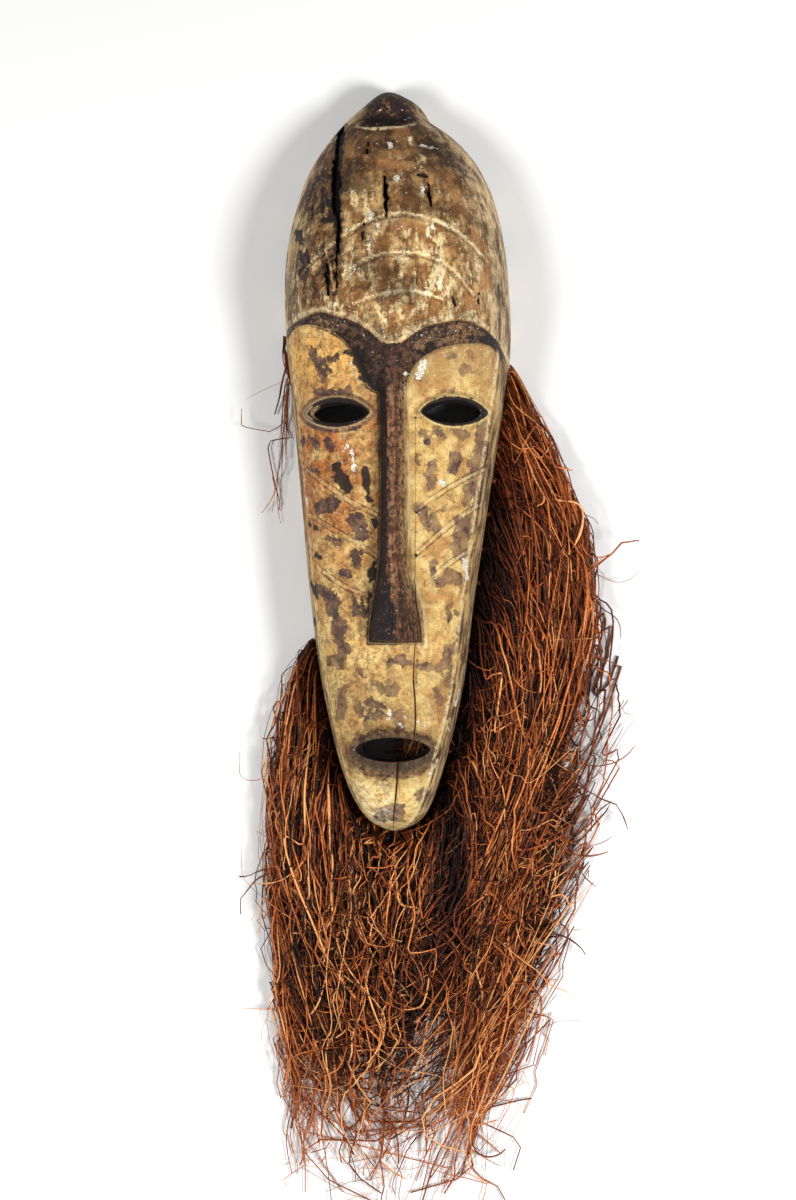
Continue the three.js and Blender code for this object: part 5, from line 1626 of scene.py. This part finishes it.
class MaskStageSettings(bpy.types.PropertyGroup):
    floor_colour: colour_property("Floor", "Colour of the plain floor", (0.79, 0.79, 0.78))
    key_power: FloatProperty(
        name="Key light", description="Power of the soft light on the right", default=50, unit="POWER")
    fill_power: FloatProperty(
        name="Fill light", description="Power of the soft light on the left", default=35, unit="POWER")
    sky: FloatProperty(name="Sky", description="Strength of the even light from all round", default=0.23)
    lens: FloatProperty(name="Lens", description="Focal length of the camera", default=66.7, unit="CAMERA")


def owned(piece, node):
    """A piece stands for a solid, which it hides, and moves with the one body."""
    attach(piece, "root")
    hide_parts(node)


def cut(piece, cutter):
    """Takes a closed mesh out of a piece."""
    modifier = piece.modifiers.new("cut", "BOOLEAN")
    modifier.operation, modifier.solver, modifier.object = "DIFFERENCE", "MANIFOLD", cutter
    made = bpy.data.meshes.new_from_object(piece.evaluated_get(bpy.context.evaluated_depsgraph_get()))
    piece.modifiers.clear()
    old, piece.data = piece.data, made
    bpy.data.meshes.remove(old)
    bpy.data.objects.remove(cutter)
    if not made.polygons:
        raise RuntimeError("a cut left nothing of " + piece.name)


def carve(piece):
    """Takes the hollow, the eyes, the mouth and the raffia holes out of the carved block."""
    cut(piece, mesh_piece("cutter", *hollow(), None))
    openings = lofts([opening_cutter(*opening) for opening in OPENINGS])
    cut(piece, mesh_piece("cutter", *openings, None))
    cut(piece, mesh_piece("cutter", *lofts([hole_rings(*hole) for hole in all_holes()]), None))


# How near its old place a vertex of the uncut front is found, in metres, and how deep in millimetres the
# paint still counts as outer
SAME_PLACE, STILL_OUTER = 2e-6, 1.0


def mark_paint(mesh, front):
    """Gives the carved mesh the values for its paint, and which vertices are of the uncut front."""
    tree = kdtree.KDTree(len(front))
    for i, place in enumerate(front):
        tree.insert(place, i)
    tree.balance()
    places = np.empty(len(mesh.vertices) * 3, np.float32)
    mesh.vertices.foreach_get("co", places)
    places = places.reshape(-1, 3)
    marks = paint_marks(*(places.astype(float).T / MM))
    uncut = np.array([tree.find(place)[2] < SAME_PLACE for place in places])
    marks["outer"] = (uncut | (marks["depth"] < STILL_OUTER)).astype(float)
    for name, values in marks.items():
        add_attribute(mesh, name, values)


class MASK_OT_wood(bpy.types.Operator):
    """Carve the mask's wood and paint it"""

    bl_idname = "carved_mask.wood"
    bl_label = "Carve the mask"

    def execute(self, context):
        settings = context.scene.mask_wood
        vertices, faces = carved_front()
        piece = mesh_piece("mask_wood", vertices, faces, wood_material(settings))
        carve(piece)
        mark_paint(piece.data, vertices)
        piece.data.shade_smooth()
        piece.data.set_sharp_from_angle(angle=settings.sharp_angle)
        owned(piece, "carved_mask")
        return {"FINISHED"}


class MASK_OT_raffia(bpy.types.Operator):
    """Tie the bunches of raffia along the mask's edge"""

    bl_idname = "carved_mask.raffia"
    bl_label = "Tie the raffia"

    def execute(self, context):
        settings = context.scene.mask_raffia
        material = raffia_material(settings)
        rng = np.random.default_rng(settings.seed)
        *holes, wisp_hole = all_holes()
        for i, (name, hole) in enumerate(zip(bunch_names(), holes)):
            groups = bunch_strands(rng, i, hole, settings)
            owned(raffia_piece(name, rng, hole, groups, material), name)
        groups = wisp_strands(rng, wisp_hole, settings)
        owned(raffia_piece("raffia_wisp", rng, wisp_hole, groups, material), "raffia_wisp")
        return {"FINISHED"}


LIT_PLACE = Vector((0, -0.5, 0))
KEY_PLACE, KEY_SIZE = Vector((1.35, -0.9, 1.75)), 0.6
FILL_PLACE, FILL_SIZE = Vector((-1.25, -0.8, 1.9)), 0.7
FLOOR_REACH, FLOOR_LEVEL = 4.0, -0.0004
LOOK_AT = Vector((0.003, -0.4499, 0.05))
CAMERA_AWAY, CAMERA_TURN = 2.0, math.radians(3)
SENSOR = 36.0


def area_light(name, place, size, power):
    """A round soft light turned towards the middle of the mask."""
    data = bpy.data.lights.new(name, "AREA")
    data.shape, data.size, data.energy = "DISK", size, power
    light = bpy.data.objects.new(name, data)
    light.location = place
    light.rotation_euler = (LIT_PLACE - place).to_track_quat("-Z", "Y").to_euler()
    bpy.context.scene.collection.objects.link(light)


class MASK_OT_stage(bpy.types.Operator):
    """Lay the floor, and set the lights and the camera"""

    bl_idname = "carved_mask.stage"
    bl_label = "Set the stage"

    def execute(self, context):
        settings = context.scene.mask_stage
        corners = [
            (x * FLOOR_REACH, y * FLOOR_REACH, FLOOR_LEVEL)
            for x, y in ((-1, -1), (1, -1), (1, 1), (-1, 1))
        ]
        material = floor_material(settings.floor_colour)
        floor = mesh_piece("floor", np.array(corners), np.array([[0, 1, 2, 3]]), material)
        area_light("key", KEY_PLACE, KEY_SIZE, settings.key_power)
        area_light("fill", FILL_PLACE, FILL_SIZE, settings.fill_power)
        world = bpy.data.worlds.new("even_light")
        world.use_nodes = True
        background = world.node_tree.nodes["Background"]
        background.inputs["Color"].default_value = (1, 1, 1, 1)
        background.inputs["Strength"].default_value = settings.sky
        context.scene.world = world
        context.scene.view_settings.view_transform = "Standard"
        data = bpy.data.cameras.new("camera")
        data.lens, data.sensor_width, data.sensor_fit = settings.lens, SENSOR, "AUTO"
        camera = bpy.data.objects.new("camera", data)
        away = Vector((math.sin(CAMERA_TURN), 0, math.cos(CAMERA_TURN)))
        camera.location = LOOK_AT + away * CAMERA_AWAY
        camera.rotation_euler = (0, CAMERA_TURN, 0)
        context.scene.collection.objects.link(camera)
        context.scene.camera = camera
        return {"FINISHED"}


class MASK_PT_parts(bpy.types.Panel):
    """The steps that build the mask"""

    bl_idname = "MASK_PT_parts"
    bl_label = "Carved mask"
    bl_space_type = "VIEW_3D"
    bl_region_type = "UI"
    bl_category = "Mask"

    def draw(self, context):
        for operator, settings in STEPS:
            self.layout.operator(operator.bl_idname)
            group = getattr(context.scene, settings)
            for name in group.__annotations__:
                self.layout.prop(group, name)


STEPS = [(MASK_OT_stage, "mask_stage"), (MASK_OT_wood, "mask_wood"), (MASK_OT_raffia, "mask_raffia")]
SETTINGS = {"mask_wood": MaskWoodSettings, "mask_raffia": MaskRaffiaSettings, "mask_stage": MaskStageSettings}
CLASSES = [*SETTINGS.values(), MASK_OT_wood, MASK_OT_raffia, MASK_OT_stage, MASK_PT_parts]


def register():
    for made in CLASSES:
        bpy.utils.register_class(made)
    for name, group in SETTINGS.items():
        setattr(bpy.types.Scene, name, PointerProperty(type=group))


def unregister():
    for name in SETTINGS:
        delattr(bpy.types.Scene, name)
    for made in reversed(CLASSES):
        bpy.utils.unregister_class(made)


def main():
    register()
    bpy.ops.carved_mask.stage()
    bpy.ops.carved_mask.wood()
    bpy.ops.carved_mask.raffia()


if __name__ == "__main__":
    main()
